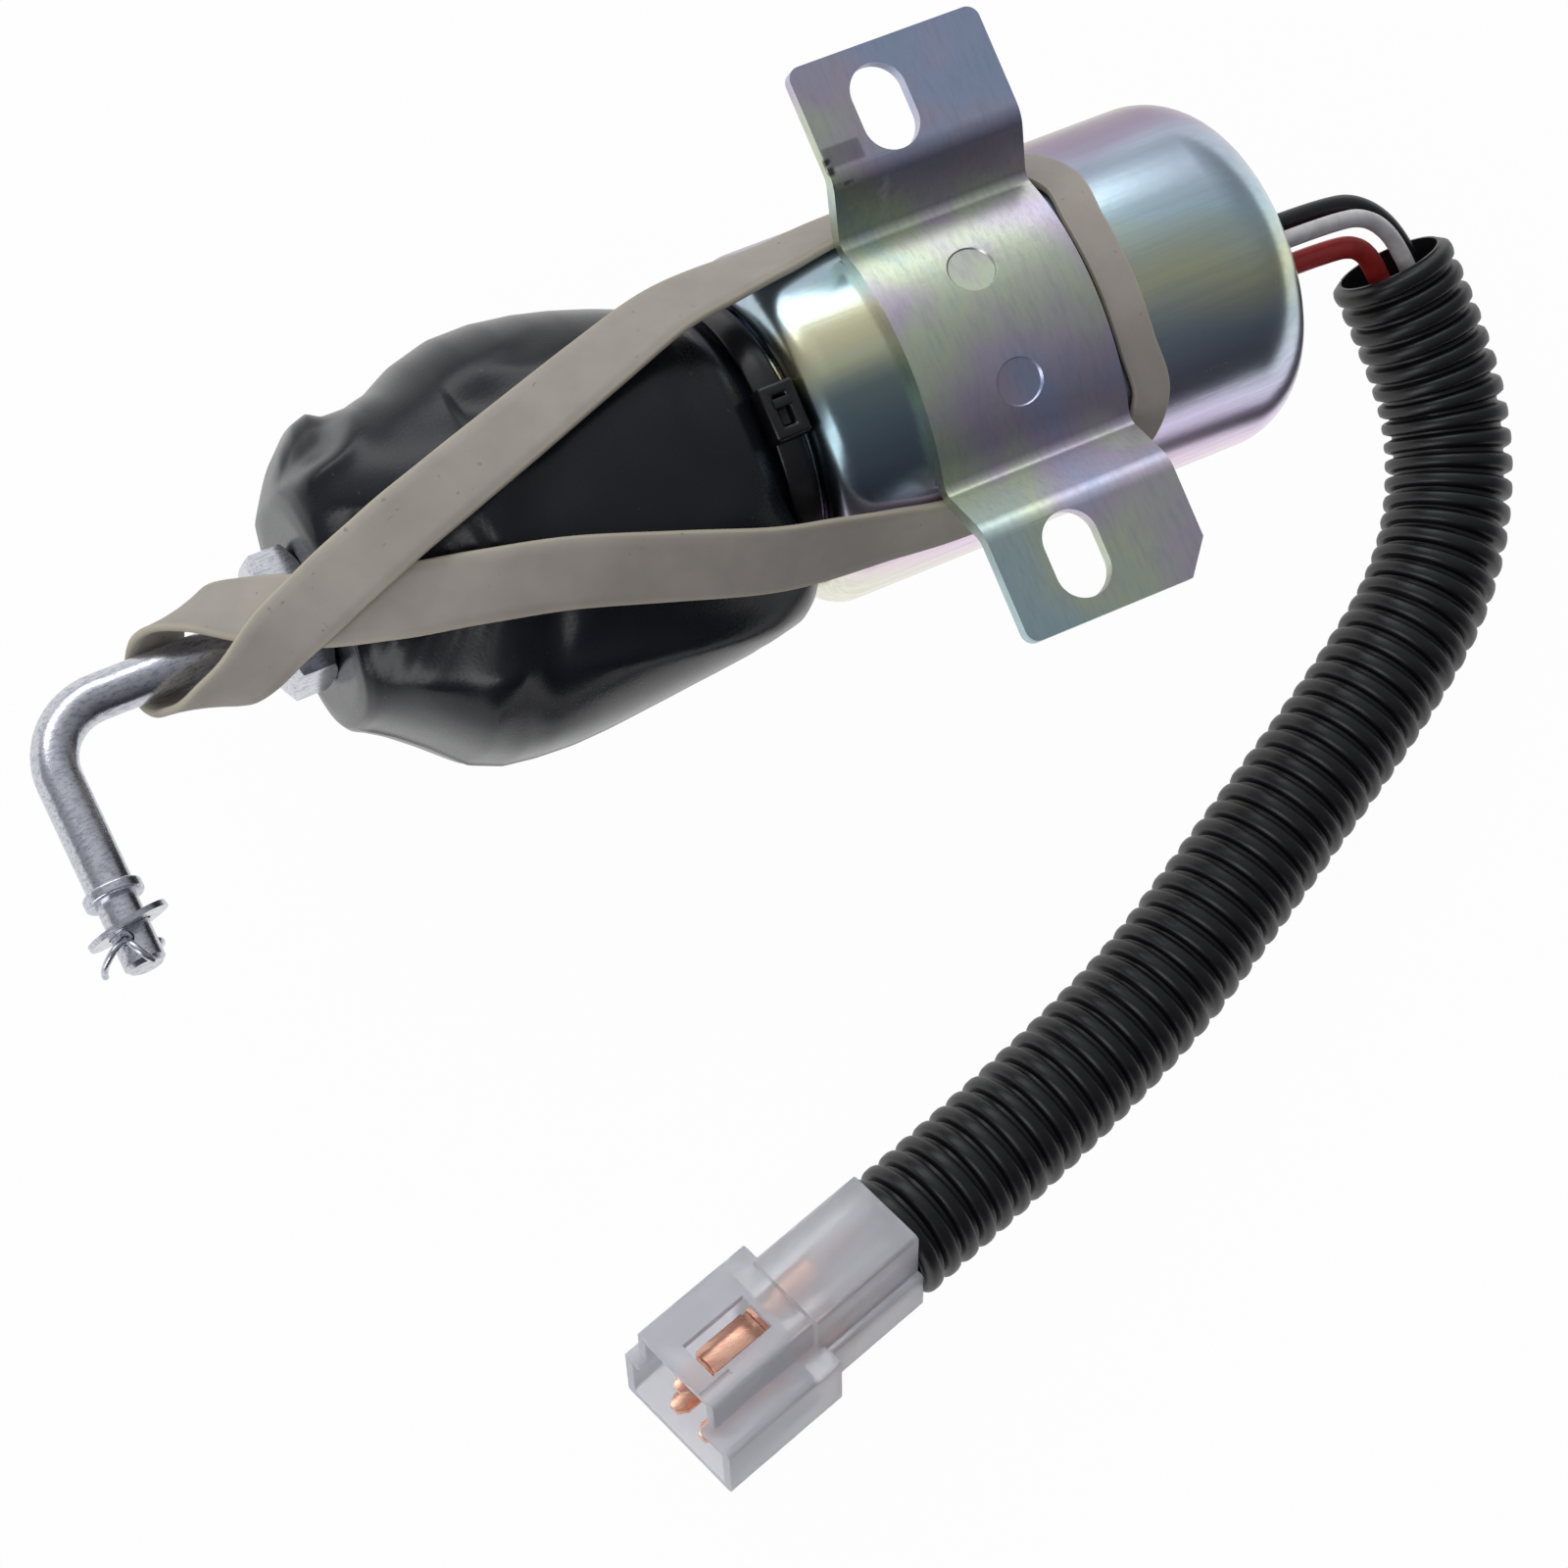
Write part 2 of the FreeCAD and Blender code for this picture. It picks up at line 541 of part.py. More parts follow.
def cotter_pin():
    corner, d, n = leg_frame()
    hd = hole_direction()
    c = corner + d * LEG_HOLE
    side = hd.cross(d).normalize()
    shank = Part.makeCylinder(COTTER_R, LEG_PIN_R * 2 + 1.2, c - hd * (LEG_PIN_R + 0.6), hd)
    eye = Part.makeTorus(1.35, 0.5, c - hd * (LEG_PIN_R + 0.6 + 1.5), side.cross(hd))
    parts = [eye]
    top = c + hd * (LEG_PIN_R + 0.2)
    for sgn, reach, drop in ((1, 4.4, 2.4), (-1, 1.6, 3.6)):
        out = (side * -sgn * reach + d * drop)
        m = top + hd * 0.9 + out * 0.32
        e = top + out - hd * (1.2 if sgn > 0 else 0.4)
        arc = Part.Arc(top, m, e).toShape()
        first = arc.tangentAt(arc.FirstParameter)
        parts.append(Part.Wire(arc).makePipeShell([Part.Wire(Part.makeCircle(0.42, top, first))], True, True))
    return shank.fuse(parts)


# Grommet, wires and conduit

def lead_grommet():
    x1 = CAN_REAR_X
    plug = disc(GROMMET_R, x1 - CAN_WALL, x1, GROMMET_Y, GROMMET_Z)
    flange = disc(GROMMET_R + 1.4, x1, x1 + 1.6, GROMMET_Y, GROMMET_Z)
    snout = Part.makeCone(GROMMET_R - 0.2, GROMMET_R - 0.9, GROMMET_END_X - x1 - 1.6,
                          V(x1 + 1.6, GROMMET_Y, axis_z(GROMMET_Z)), V(1, 0, 0))
    return plug.fuse([flange, snout]).removeSplitter()


def offset_route(route, across, up):
    """Move a route sideways and up, keeping its corners in step."""
    out = []
    for i, p in enumerate(route):
        before = V(*p) - V(*route[i - 1]) if i else None
        after = V(*route[i + 1]) - V(*p) if i < len(route) - 1 else None
        d1 = before or after
        d2 = after or before
        a = V(-d1.y, d1.x, 0).normalize()
        b = V(-d2.y, d2.x, 0).normalize()
        m = (a + b).normalize()
        m = m * (across / max(0.6, m.dot(a)))
        out.append((p[0] + m.x, p[1] + m.y, p[2] + up))
    return out


def plug_frame():
    """Origin and axes of the connector, laid with its long edge on the ground."""
    end, before = V(*CONDUIT_ROUTE[-1]), V(*CONDUIT_ROUTE[-2])
    u = (end - before).normalize()
    side = V(-u.y, u.x, 0).normalize()
    up = u.cross(side)
    r = math.radians(PLUG_ROLL)
    w = side * math.cos(r) + up * math.sin(r)
    t = side * -math.sin(r) + up * math.cos(r)
    low = min(u.z * c + w.z * a + t.z * b for c, box4 in ((0, REAR_LOW), (REAR_U, MOUTH_LOW))
              for a in box4[:2] for b in box4[2:])
    wc, tc = (sum(c[k] for c in CAVITIES.values()) / 3 for k in (0, 1))
    across = wc * math.cos(r) - tc * math.sin(r)
    origin = end - side * across
    origin.z = FLOOR_Z - low
    level = V(u.x, u.y, 0)
    origin = origin + level * ((end - origin).dot(u) / level.dot(u))
    return origin, u, w, t


def plug_point(u, w, t):
    o, eu, ew, et = plug_frame()
    return o + eu * u + ew * w + et * t


def plug_box(u0, u1, w0, w1, t0, t1, edge=0.0):
    o, eu, ew, et = plug_frame()
    shape = Part.makeBox(u1 - u0, w1 - w0, t1 - t0, V(u0, w0, t0))
    if edge:
        shape = shape.makeFillet(edge, [e for e in shape.Edges
                                        if abs(e.Vertexes[0].Point.x - e.Vertexes[1].Point.x) > 1])
    return to_plug(shape)


def to_plug(shape):
    o, eu, ew, et = plug_frame()
    m = FreeCAD.Matrix(eu.x, ew.x, et.x, o.x, eu.y, ew.y, et.y, o.y, eu.z, ew.z, et.z, o.z, 0, 0, 0, 1)
    shape.transformShape(m, True)
    return shape


def wire_points(across, up, w, t):
    start = V(GROMMET_END_X, GROMMET_Y, axis_z(GROMMET_Z))
    guide = [tuple(start)] + LEAD_GUIDE + CONDUIT_ROUTE[1:-1]
    pts = offset_route(guide, across, up)
    pts[0] = (GROMMET_END_X, pts[0][1], pts[0][2])
    pts.append(tuple(plug_point(-15.0, w, t)))
    pts.append(tuple(plug_point(BARREL_U[0], w, t)))
    return pts


LEADS = {
    "wire_black": (WIRE_BLACK_D, 2.7, -1.3, "right"),
    "wire_white": (WIRE_WHITE_D, 0.1, 2.0, "top"),
    "wire_red": (WIRE_RED_D, -2.7, -1.4, "left"),
}


def lead(name):
    d, across, up, cavity = LEADS[name]
    pts = wire_points(across, up, *CAVITIES[cavity])
    return tube_along(pts, d / 2, name), pts


def conduit():
    outer = tube_along(CONDUIT_ROUTE, CONDUIT_D / 2, "conduit")
    inner = tube_along(CONDUIT_ROUTE, CONDUIT_BORE / 2)
    return outer.cut(inner)


# Connector and terminals

def local_box(u0, u1, q, grow=0.0, edge=0.0):
    w0, w1, t0, t1 = q
    shape = Part.makeBox(u1 - u0, w1 - w0 + 2 * grow, t1 - t0 + 2 * grow, V(u0, w0 - grow, t0 - grow))
    if edge:
        shape = shape.makeFillet(edge, [e for e in shape.Edges
                                        if abs(e.Vertexes[0].Point.x - e.Vertexes[1].Point.x) > 1])
    return shape


def connector_housing():
    body = local_box(0, REAR_U + 1, REAR_LOW, 0, 0.7)
    body = body.fuse([local_box(0, REAR_U + 1, (REAR_TOP[0], REAR_TOP[1], REAR_LOW[3] - 2, REAR_TOP[3]), 0, 0.7),
                      local_box(REAR_U, PLUG_U, MOUTH_LOW, 0, 0.6),
                      local_box(REAR_U, PLUG_U - 1.2, (MOUTH_TOP[0], MOUTH_TOP[1], 4, MOUTH_TOP[3]), 0, 0.6)])
    w0, w1, t0, t1 = MOUTH_LOW
    low = (w0 + PLUG_WALL, w1 - PLUG_WALL, t0 + PLUG_WALL, t1 - PLUG_WALL)
    a0, a1, b0, b1 = MOUTH_TOP
    top = (a0 + PLUG_WALL, a1 - PLUG_WALL, t1 - PLUG_WALL - 0.5, b1 - PLUG_WALL)
    body = body.cut(local_box(WEB_U, PLUG_U + 1, low)).cut(local_box(WEB_U, PLUG_U + 1, top))
    window = local_box(WEB_U + 1.2, PLUG_U - 4.0, (a0 + 4.9, a1 - 3.2, b1 - 3, b1 + 1))
    latch = local_box(PLUG_U - 6, PLUG_U - 1.2, (a1 - 2.6, a1 - 1.9, b1 - 0.5, b1 + 0.0))
    body = body.cut([window, latch])
    for name, (w, t) in CAVITIES.items():
        bore = Part.makeCylinder(2.3, BOX_U[0] + 1, V(-0.5, w, t), V(1, 0, 0))
        seat = local_box(BOX_U[0] - 1, WEB_U + 0.5, (w - BOX_W / 2, w + BOX_W / 2, t - BOX_H / 2, t + BOX_H / 2))
        body = body.cut([bore, seat])
    return to_plug(body.removeSplitter())


def blade_terminal(w, t, top):
    h = BOX_H / 2
    box_end = BOX_U[1] + (6.0 if top else 0.0)
    barrel = Part.makeCylinder(BARREL_R, BARREL_U[1] - BARREL_U[0], V(BARREL_U[0], w, t), V(1, 0, 0))
    barrel = barrel.cut(local_box(BARREL_U[0] - 1, BARREL_U[1] - 1.4, (w - 0.2, w + 0.2, t + 0.9, t + 3)))
    body = local_box(BARREL_U[1] - 0.2, box_end, (w - BOX_W / 2, w + BOX_W / 2, t - h, t + h))
    body = body.cut(local_box(BOX_U[1] - 2.0, BOX_U[1] - 1.2, (w - 3, w + 3, t + 0.6, t + 3))) if top else body
    blade = local_box(box_end - 1, BLADE_END_U - 1.2,
                      (w - BLADE_W / 2, w + BLADE_W / 2, t - BLADE_T / 2, t + BLADE_T / 2))
    e = BLADE_END_U
    a, b = w - BLADE_W / 2, w + BLADE_W / 2
    z = t - BLADE_T / 2
    tip = Part.Face(Part.makePolygon([V(e - 1.2, a, z), V(e, w - 0.6, z), V(e, w + 0.6, z),
                                      V(e - 1.2, b, z), V(e - 1.2, a, z)])).extrude(V(0, 0, BLADE_T))
    return to_plug(barrel.fuse([body, blade, tip]).removeSplitter())


# Elastic band

def catmull(values, steps):
    """Smooth closed series through the values."""
    out = []
    n = len(values)
    for i in range(n):
        p0, p1, p2, p3 = (values[(i + k - 1) % n] for k in range(4))
        for s in range(steps):
            f = s / steps
            out.append(0.5 * (2 * p1 + (p2 - p0) * f + (2 * p0 - 5 * p1 + 4 * p2 - p3) * f * f
                              + (3 * p1 - p0 - 3 * p2 + p3) * f ** 3))
    return out


def band_stations(steps=3):
    """Points, width directions and normals round the closed band."""
    xs = catmull([p[0] for p in BAND_ROUTE], steps)
    rs = catmull([p[2] for p in BAND_ROUTE], steps)
    ws = catmull([p[3] for p in BAND_ROUTE], steps)
    n = len(BAND_ROUTE)
    angles = []
    for i in range(n):
        q = [BAND_ROUTE[(i + k - 1) % n][1] for k in range(4)]
        if i == 0:
            q[0] += 360
        if i >= n - 1:
            q[2] -= 360
            q[3] -= 360
        if i == n - 2:
            q[3] -= 360
        for s in range(steps):
            f = s / steps
            angles.append(0.5 * (2 * q[1] + (q[2] - q[0]) * f + (2 * q[0] - 5 * q[1] + 4 * q[2] - q[3]) * f * f
                                 + (3 * q[1] - q[0] - 3 * q[2] + q[3]) * f ** 3))
    pts, normals = [], []
    for x, r, a in zip(xs, rs, angles):
        a = math.radians(a)
        nrm = V(0, math.sin(a), math.cos(a))
        pts.append(V(x, 0, -AXIS_DROP) + nrm * r)
        normals.append(nrm)
    out = []
    m = len(pts)
    for i in range(m):
        tangent = (pts[(i + 1) % m] - pts[i - 1]).normalize()
        side = tangent.cross(normals[i]).normalize()
        nrm = side.cross(tangent).normalize()
        out.append((pts[i], side * (ws[i] / 2), nrm * (BAND_T / 2)))
    return out


def elastic_band():
    return closed_solid([[p - s - n, p + s - n, p + s + n, p - s + n] for p, s, n in band_stations()], True)


def main():
    os.makedirs("parts", exist_ok=True)
    x0 = CAN_FRONT_X + CAN_WALL + PLATE_T + FLANGE_T
    x1 = CAN_REAR_X - CAN_WALL - POLE_DISC_T - FLANGE_T
    nodes = {
        "can_shell": can_shell(),
        "front_plate": front_plate(),
        "mounting_bracket": mounting_bracket(),
        "coil_bobbin": coil_bobbin(),
        "pull_winding": winding(x0, MID_FLANGE_X),
        "hold_winding": winding(MID_FLANGE_X + FLANGE_T, x1),
        "guide_tube": guide_tube(),
        "rear_pole_piece": rear_pole_piece(),
        "return_spring": return_spring(),
        "boot": boot(),
        "cable_tie": cable_tie(),
        "elastic_band": elastic_band(),
        "lead_grommet": lead_grommet(),
        "conduit": conduit(),
        "connector_housing": connector_housing(),
        "plunger_core": plunger_core(),
        "link_rod": link_rod(),
        "rod_lock_nut": rod_lock_nut(),
        "inner_jam_nut": inner_jam_nut(),
        "spring_seat_washer": spring_seat_washer(),
        "pin_washer": pin_washer(),
        "cotter_pin": cotter_pin(),
    }
    for name, (w, t) in CAVITIES.items():
        nodes["blade_terminal_" + name] = blade_terminal(w, t, name == "top")
    for name in LEADS:
        nodes[name], pts = lead(name)
        print(name, [tuple(round(c, 2) for c in p) for p in pts])
    for name, shape in nodes.items():
        if not shape.isValid():
            print("invalid:", name)
        if len(shape.Solids) != 1:
            print("solids:", name, len(shape.Solids))
        shape.exportStep("parts/%s.step" % name)
        b = shape.BoundBox
        print("%-20s vol %9.1f  x %.1f..%.1f y %.1f..%.1f z %.1f..%.1f" % (
            name, shape.Volume, b.XMin, b.XMax, b.YMin, b.YMax, b.ZMin, b.ZMax))


main()
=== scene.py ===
import math

import bmesh
import bpy
from mathutils import Matrix, Vector, noise


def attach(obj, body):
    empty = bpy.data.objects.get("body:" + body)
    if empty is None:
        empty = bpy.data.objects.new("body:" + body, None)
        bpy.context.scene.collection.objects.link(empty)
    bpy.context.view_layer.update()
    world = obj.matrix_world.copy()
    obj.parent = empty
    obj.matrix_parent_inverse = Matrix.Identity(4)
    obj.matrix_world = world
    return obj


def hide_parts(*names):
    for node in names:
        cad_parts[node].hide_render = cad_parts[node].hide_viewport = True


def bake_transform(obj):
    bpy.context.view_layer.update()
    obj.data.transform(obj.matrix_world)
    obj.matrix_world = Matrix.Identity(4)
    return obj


bl_info = {
    "name": "Fuel Shutoff Solenoid",
    "version": (1, 0, 0),
    "blender": (4, 5, 0),
    "location": "View3D > Sidebar > Solenoid",
    "description": "Dresses a fuel shutoff solenoid: zinc can and bracket, boot, sheathed leads",
    "category": "Object",
}

# Everything is in metres in the CAD frame: origin between the bracket's slots on the tabs' face,
# +X to the wire end, +Y to the upper tab, +Z out of the tabs. Tables below are in millimetres.
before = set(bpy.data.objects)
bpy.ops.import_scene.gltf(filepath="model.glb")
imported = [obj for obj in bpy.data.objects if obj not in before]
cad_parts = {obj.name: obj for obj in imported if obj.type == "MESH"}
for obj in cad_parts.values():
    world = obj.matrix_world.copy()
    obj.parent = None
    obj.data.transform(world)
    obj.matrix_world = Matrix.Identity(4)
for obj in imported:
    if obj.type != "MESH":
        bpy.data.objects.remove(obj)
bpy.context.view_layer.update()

MM = 0.001
AXIS_Z = -24.7
FLOOR_Z = -46.925
FIXED, MOVING = "solenoid", "plunger"

# Can: its rolled lip and rear face as (x, radius), its mouth and rear edge as arcs of
# (centre x, centre radius, radius), and where its side has rows.
CAN_R = 22.225
CAN_LIP = [(-19.6, 17.35), (-21.4, 17.25), (-22.1, 17.45), (-22.4, 18.0)]
CAN_MOUTH = (-18.0, 17.825, 4.4)
CAN_SIDE = (-10.0, 0.0, 12.0, 24.0)
CAN_TAIL = (36.0, 12.225, 10.0)
CAN_REAR = [(46.0, 11.0), (45.9, 10.4), (45.9, 6.0), (45.9, 1.0)]
NECK_PLATE = [
    (-17.0, 10.2), (-17.0, 17.1), (-20.3, 17.15), (-20.8, 16.9), (-20.8, 16.3), (-21.9, 16.1),
    (-22.3, 16.0), (-22.6, 15.6), (-22.7, 15.2), (-28.2, 15.2), (-28.4, 15.0), (-28.4, 10.4),
    (-28.2, 10.2), (-17.0, 10.2),
]
TIE_STRAP = [(-22.95, 16.7), (-22.95, 18.0), (-23.25, 18.22), (-26.25, 18.22), (-26.55, 18.0),
             (-26.55, 16.7), (-22.95, 16.7)]
POTTING = [(45.7, 6.0), (45.9, 7.1), (46.5, 7.3), (47.4, 7.0), (47.9, 6.2), (49.0, 5.9),
           (49.9, 5.2), (50.3, 4.2), (50.1, 2.2), (50.0, 0.6)]

# Slack boot: x, then its reach in mm towards +Y, -Y and up from the axis, and how square it is.
BOOT_SECTIONS = [
    (-22.9, 16.7, 16.7, 16.7, 2.0),
    (-26.7, 16.8, 16.9, 16.8, 2.0),
    (-27.4, 17.3, 18.8, 17.6, 2.0),
    (-28.6, 18.0, 21.2, 19.2, 2.1),
    (-30.6, 18.8, 22.6, 20.8, 2.2),
    (-34.0, 19.9, 23.4, 22.2, 2.3),
    (-38.0, 21.4, 23.9, 22.9, 2.35),
    (-43.0, 23.2, 24.3, 23.3, 2.35),
    (-47.0, 24.4, 24.6, 23.5, 2.3),
    (-52.0, 25.2, 24.9, 23.7, 2.3),
    (-57.0, 25.2, 25.1, 23.7, 2.25),
    (-62.0, 23.9, 25.0, 23.2, 2.2),
    (-66.0, 21.9, 24.6, 22.2, 2.2),
    (-70.0, 21.2, 23.0, 20.8, 2.3),
    (-74.0, 21.6, 19.2, 19.4, 2.5),
    (-77.0, 22.6, 16.7, 18.2, 2.6),
    (-79.2, 22.0, 15.2, 16.8, 2.6),
    (-80.6, 19.6, 14.6, 15.6, 2.4),
    (-81.3, 16.2, 14.0, 14.6, 2.2),
    (-81.6, 13.2, 12.2, 12.8, 2.1),
    (-81.6, 6.6, 6.6, 6.6, 2.0),
    (-81.6, 3.0, 3.0, 3.0, 2.0),
]
# Swellings and hollows of the boot's upper side: x, y, height, reach along x, reach along y.
BOOT_DENTS = [
    (-57.8, 13.0, -2.0, 5.6, 4.6),
    (-66.4, 17.6, 0.8, 3.4, 3.0),
    (-60.0, -13.4, -1.2, 4.4, 4.6),
    (-56.0, 2.5, -0.8, 4.0, 6.5),
    (-77.0, 16.6, -0.9, 2.2, 1.6),
    (-47.0, -3.0, 0.5, 9.0, 7.0),
    (-33.0, 8.0, -0.7, 3.5, 5.0),
]
# Folds of the boot's upper side: height, reach on its left and on its right, then its line in plan.
BOOT_FOLDS = [
    (1.2, 2.4, 6.0, ((-61.2, 9.0), (-61.4, 2.2), (-62.8, -3.5), (-63.8, -9.0))),
    (-1.9, 3.6, 4.0, ((-60.6, -12.0), (-61.4, -16.5), (-62.4, -21.6))),
    (1.6, 3.0, 3.2, ((-64.6, -12.0), (-67.0, -17.0), (-70.2, -21.6))),
    (1.0, 3.2, 1.6, ((-77.2, -8.0), (-76.2, -13.2), (-75.0, -18.2), (-73.2, -22.6))),
]
# Edge of the shelf that the fold at the boot's upper front corner leaves, its drop and its width.
BOOT_SHELF = ((-64.5, 25.0), (-67.8, 21.4), (-70.2, 18.8), (-71.8, 16.6), (-73.6, 14.8),
              (-75.6, 13.8), (-78.1, 13.2), (-81.5, 11.5))
SHELF_DROP, SHELF_EASE = 5.2, 3.0
# The boot's slant at its upper front, and the reach that it leaves upright over the spring's seat.
FRONT_SLANT, SEAT_REACH = 0.48, 13.6
# The boot's rows, its reach below, the height where its relief fades out, the angle of its mould
# seam and how steep its folds are.
BOOT_STEP, BOOT_UNDER, RELIEF_FADE, SEAM_ANGLE, FOLD_POWER = 0.62, 21.6, 11.0, -103.0, 1.7
# The boot's least height over the floor, the height it flattens from, and how much it flattens.
FLOOR_GAP, FLOOR_EASE, FLOOR_PRESS = 0.25, 2.5, 0.75
# How deep the band presses the boot in, and how far from its line, in widths of the band.
BAND_PRESS, PRESS_REACH, PRESS_EASE = 1.0, 1.4, 0.8

# Elastic band, as (x, angle from +Z towards +Y, radius, width). It is the part's band, with the
# lower strand moved a little further down the boot.
BAND_ROUTE = [
    (18.9, 0.0, 22.95, 5.0), (18.9, 20.0, 22.95, 5.0), (19.4, 38.0, 22.95, 5.0),
    (15.5, 53.0, 22.95, 5.4), (5.0, 55.0, 22.95, 6.6), (-8.0, 54.5, 22.95, 6.8),
    (-17.0, 50.5, 22.95, 7.6), (-25.0, 44.5, 24.2, 8.4), (-34.0, 37.5, 25.7, 8.4),
    (-44.0, 29.0, 25.9, 8.4), (-56.0, 19.5, 25.9, 8.4), (-67.0, 11.5, 25.6, 8.4),
    (-76.0, 5.0, 24.7, 8.4), (-83.8, -2.0, 19.7, 8.4), (-90.0, -14.0, 13.6, 8.2),
    (-95.5, -45.0, 7.8, 7.8), (-98.8, -90.0, 4.7, 7.4), (-100.2, -140.0, 3.8, 7.2),
    (-100.4, -180.0, 3.5, 7.0), (-99.8, -222.0, 3.7, 7.2), (-98.4, -268.0, 4.7, 7.4),
    (-95.0, -313.0, 6.8, 7.8), (-90.0, -346.0, 9.2, 8.4), (-84.5, -365.0, 14.5, 8.4),
    (-77.0, -372.0, 20.5, 8.4), (-68.0, -375.5, 24.5, 8.4), (-57.0, -380.5, 25.9, 8.4),
    (-45.0, -389.0, 25.9, 8.4), (-34.0, -397.5, 25.7, 8.4), (-25.0, -404.5, 24.2, 8.4),
    (-17.0, -410.5, 22.95, 7.6), (-8.0, -414.5, 22.95, 6.8), (5.0, -415.0, 22.95, 6.6),
    (15.5, -413.0, 22.95, 5.4), (19.4, -398.0, 22.95, 5.0), (18.9, -380.0, 22.95, 5.0),
]
BAND_THICKNESS = 1.0

CONDUIT_ROUTE = [
    (68.3, -7.5, -31.5), (70.8, -21.0, -35.5), (68.6, -34.6, -38.2), (60.4, -47.2, -38.675),
    (46.4, -57.0, -38.675), (22.5, -70.0, -38.675), (-7.0, -85.8, -38.675), (-43.7, -95.5, -36.775),
]
LEAD_ROUTES = {
    "wire_black": [
        (50.0, 1.7, -25.5), (58.12, 1.7, -25.5), (66.31, 1.0, -28.3), (71.9, -5.37, -32.0),
        (73.52, -21.08, -36.8), (71.17, -35.59, -39.5), (62.38, -49.11, -39.98),
        (47.82, -59.3, -39.98), (23.78, -72.38, -39.98), (-5.73, -88.18, -39.98),
        (-28.29, -95.37, -38.53), (-46.16, -100.09, -37.6),
    ],
    "wire_white": [
        (50.0, -0.9, -22.2), (58.0, -0.9, -22.2), (65.05, -1.5, -25.0), (69.4, -6.46, -28.7),
        (70.9, -21.0, -33.5), (68.7, -34.64, -36.2), (60.47, -47.27, -36.68),
        (46.45, -57.09, -36.68), (22.55, -70.09, -36.68), (-6.95, -85.89, -36.68),
        (-29.86, -88.53, -33.88), (-47.72, -93.25, -32.95),
    ],
    "wire_red": [
        (50.0, -3.7, -25.6), (57.88, -3.7, -25.6), (63.69, -4.2, -28.4), (66.7, -7.63, -32.1),
        (68.08, -20.92, -36.9), (66.03, -33.61, -39.6), (58.42, -45.29, -40.08),
        (44.98, -54.7, -40.08), (21.22, -67.62, -40.08), (-8.27, -83.42, -40.08),
        (-29.53, -91.13, -40.87), (-47.4, -95.85, -39.95),
    ],
}
# Leads: node, diameter, blade and colour.
LEADS = (
    ("wire_black", 2.6, "blade_right", (0.007, 0.007, 0.010)),
    ("wire_white", 2.3, "blade_top", (0.78, 0.76, 0.75)),
    ("wire_red", 2.9, "blade_left", (0.62, 0.045, 0.040)),
)

# One rib of the conduit, as (share of the pitch, share of the depth), and its lengthwise split:
# the angle it lies at, half its width in radians and its depth in metres.
RIB = [(0.0, 1.0), (0.09, 0.93), (0.17, 0.42), (0.26, 0.10), (0.38, 0.02), (0.5, 0.0),
       (0.62, 0.02), (0.74, 0.10), (0.83, 0.42), (0.91, 0.93)]
SPLIT_ANGLE, SPLIT_HALF, SPLIT_DEPTH = -50.0, 0.045, 0.0006
CONDUIT_FACES, BORE_ROWS = 44, 60

# Return spring: its turns, both ends along the axis, its radius and the wire's, and its faces.
SPRING_TURNS, SPRING_ENDS, SPRING_R, SPRING_WIRE_R = 8, (-77.4, -29.3), 11.4, 0.88
SPRING_STEPS, WIRE_FACES = 28, 10

# Camera solved from the photo: its axes and place in the CAD frame.
LENS, SENSOR = 100.914, 36.0
CAMERA_RIGHT = (0.88034556, -0.39222999, 0.26673458)
CAMERA_UP = (0.36686523, 0.9194851, 0.14126945)
CAMERA_BACK = (-0.30066859, -0.02651029, 0.95336017)
CAMERA_PLACE = (-0.19447204, -0.05354503, 0.47669947)

FLOOR_SIZE, FLOOR_GLOW = 6.0, 0.975
# Light of the studio by the direction that WORLD_TURN measures, dark at the lower side.
WORLD_TURN, WORLD_SHIFT = (0.0, 0.4545, 0.2273), 0.5
WORLD_STOPS = (
    (0.0, (0.03, 0.03, 0.036)), (0.15, (0.025, 0.025, 0.03)), (0.24, (0.08, 0.08, 0.10)),
    (0.34, (0.13, 0.13, 0.155)), (0.47, (0.19, 0.19, 0.22)), (0.62, (0.28, 0.285, 0.31)),
    (0.80, (0.34, 0.345, 0.37)), (0.90, (0.50, 0.51, 0.54)), (0.96, (0.66, 0.67, 0.70)),
)
# Softboxes: name, place, size and power.
LAMPS = (
    ("upper_softbox", (-0.10, 0.92, 0.48), (1.2, 0.40), 3.6),
    ("front_softbox", (-0.85, -0.30, 0.42), (0.34, 0.8), 3.0),
)


class CanSettings(bpy.types.PropertyGroup):
    """Sizes and colours of the zinc plated can and bracket."""

    segments: bpy.props.IntProperty(
        name="Segments", description="Faces round the can", default=144, min=24, max=256)
    bracket_edge: bpy.props.FloatProperty(
        name="Bracket edge", description="Rounding of the bracket's cut edges",
        default=0.00028, min=0.00005, max=0.001, subtype="DISTANCE", unit="LENGTH")
    blue: bpy.props.FloatVectorProperty(
        name="Blue zinc", description="Main tint of the passivated zinc",
        default=(0.5, 0.68, 0.74), size=3, min=0, max=1, subtype="COLOR")
    pink: bpy.props.FloatVectorProperty(
        name="Pink zinc", description="Pink tint of the passivated zinc",
        default=(0.84, 0.66, 0.82), size=3, min=0, max=1, subtype="COLOR")
    straw: bpy.props.FloatVectorProperty(
        name="Straw zinc", description="Yellow green tint of the passivated zinc",
        default=(0.64, 0.68, 0.44), size=3, min=0, max=1, subtype="COLOR")


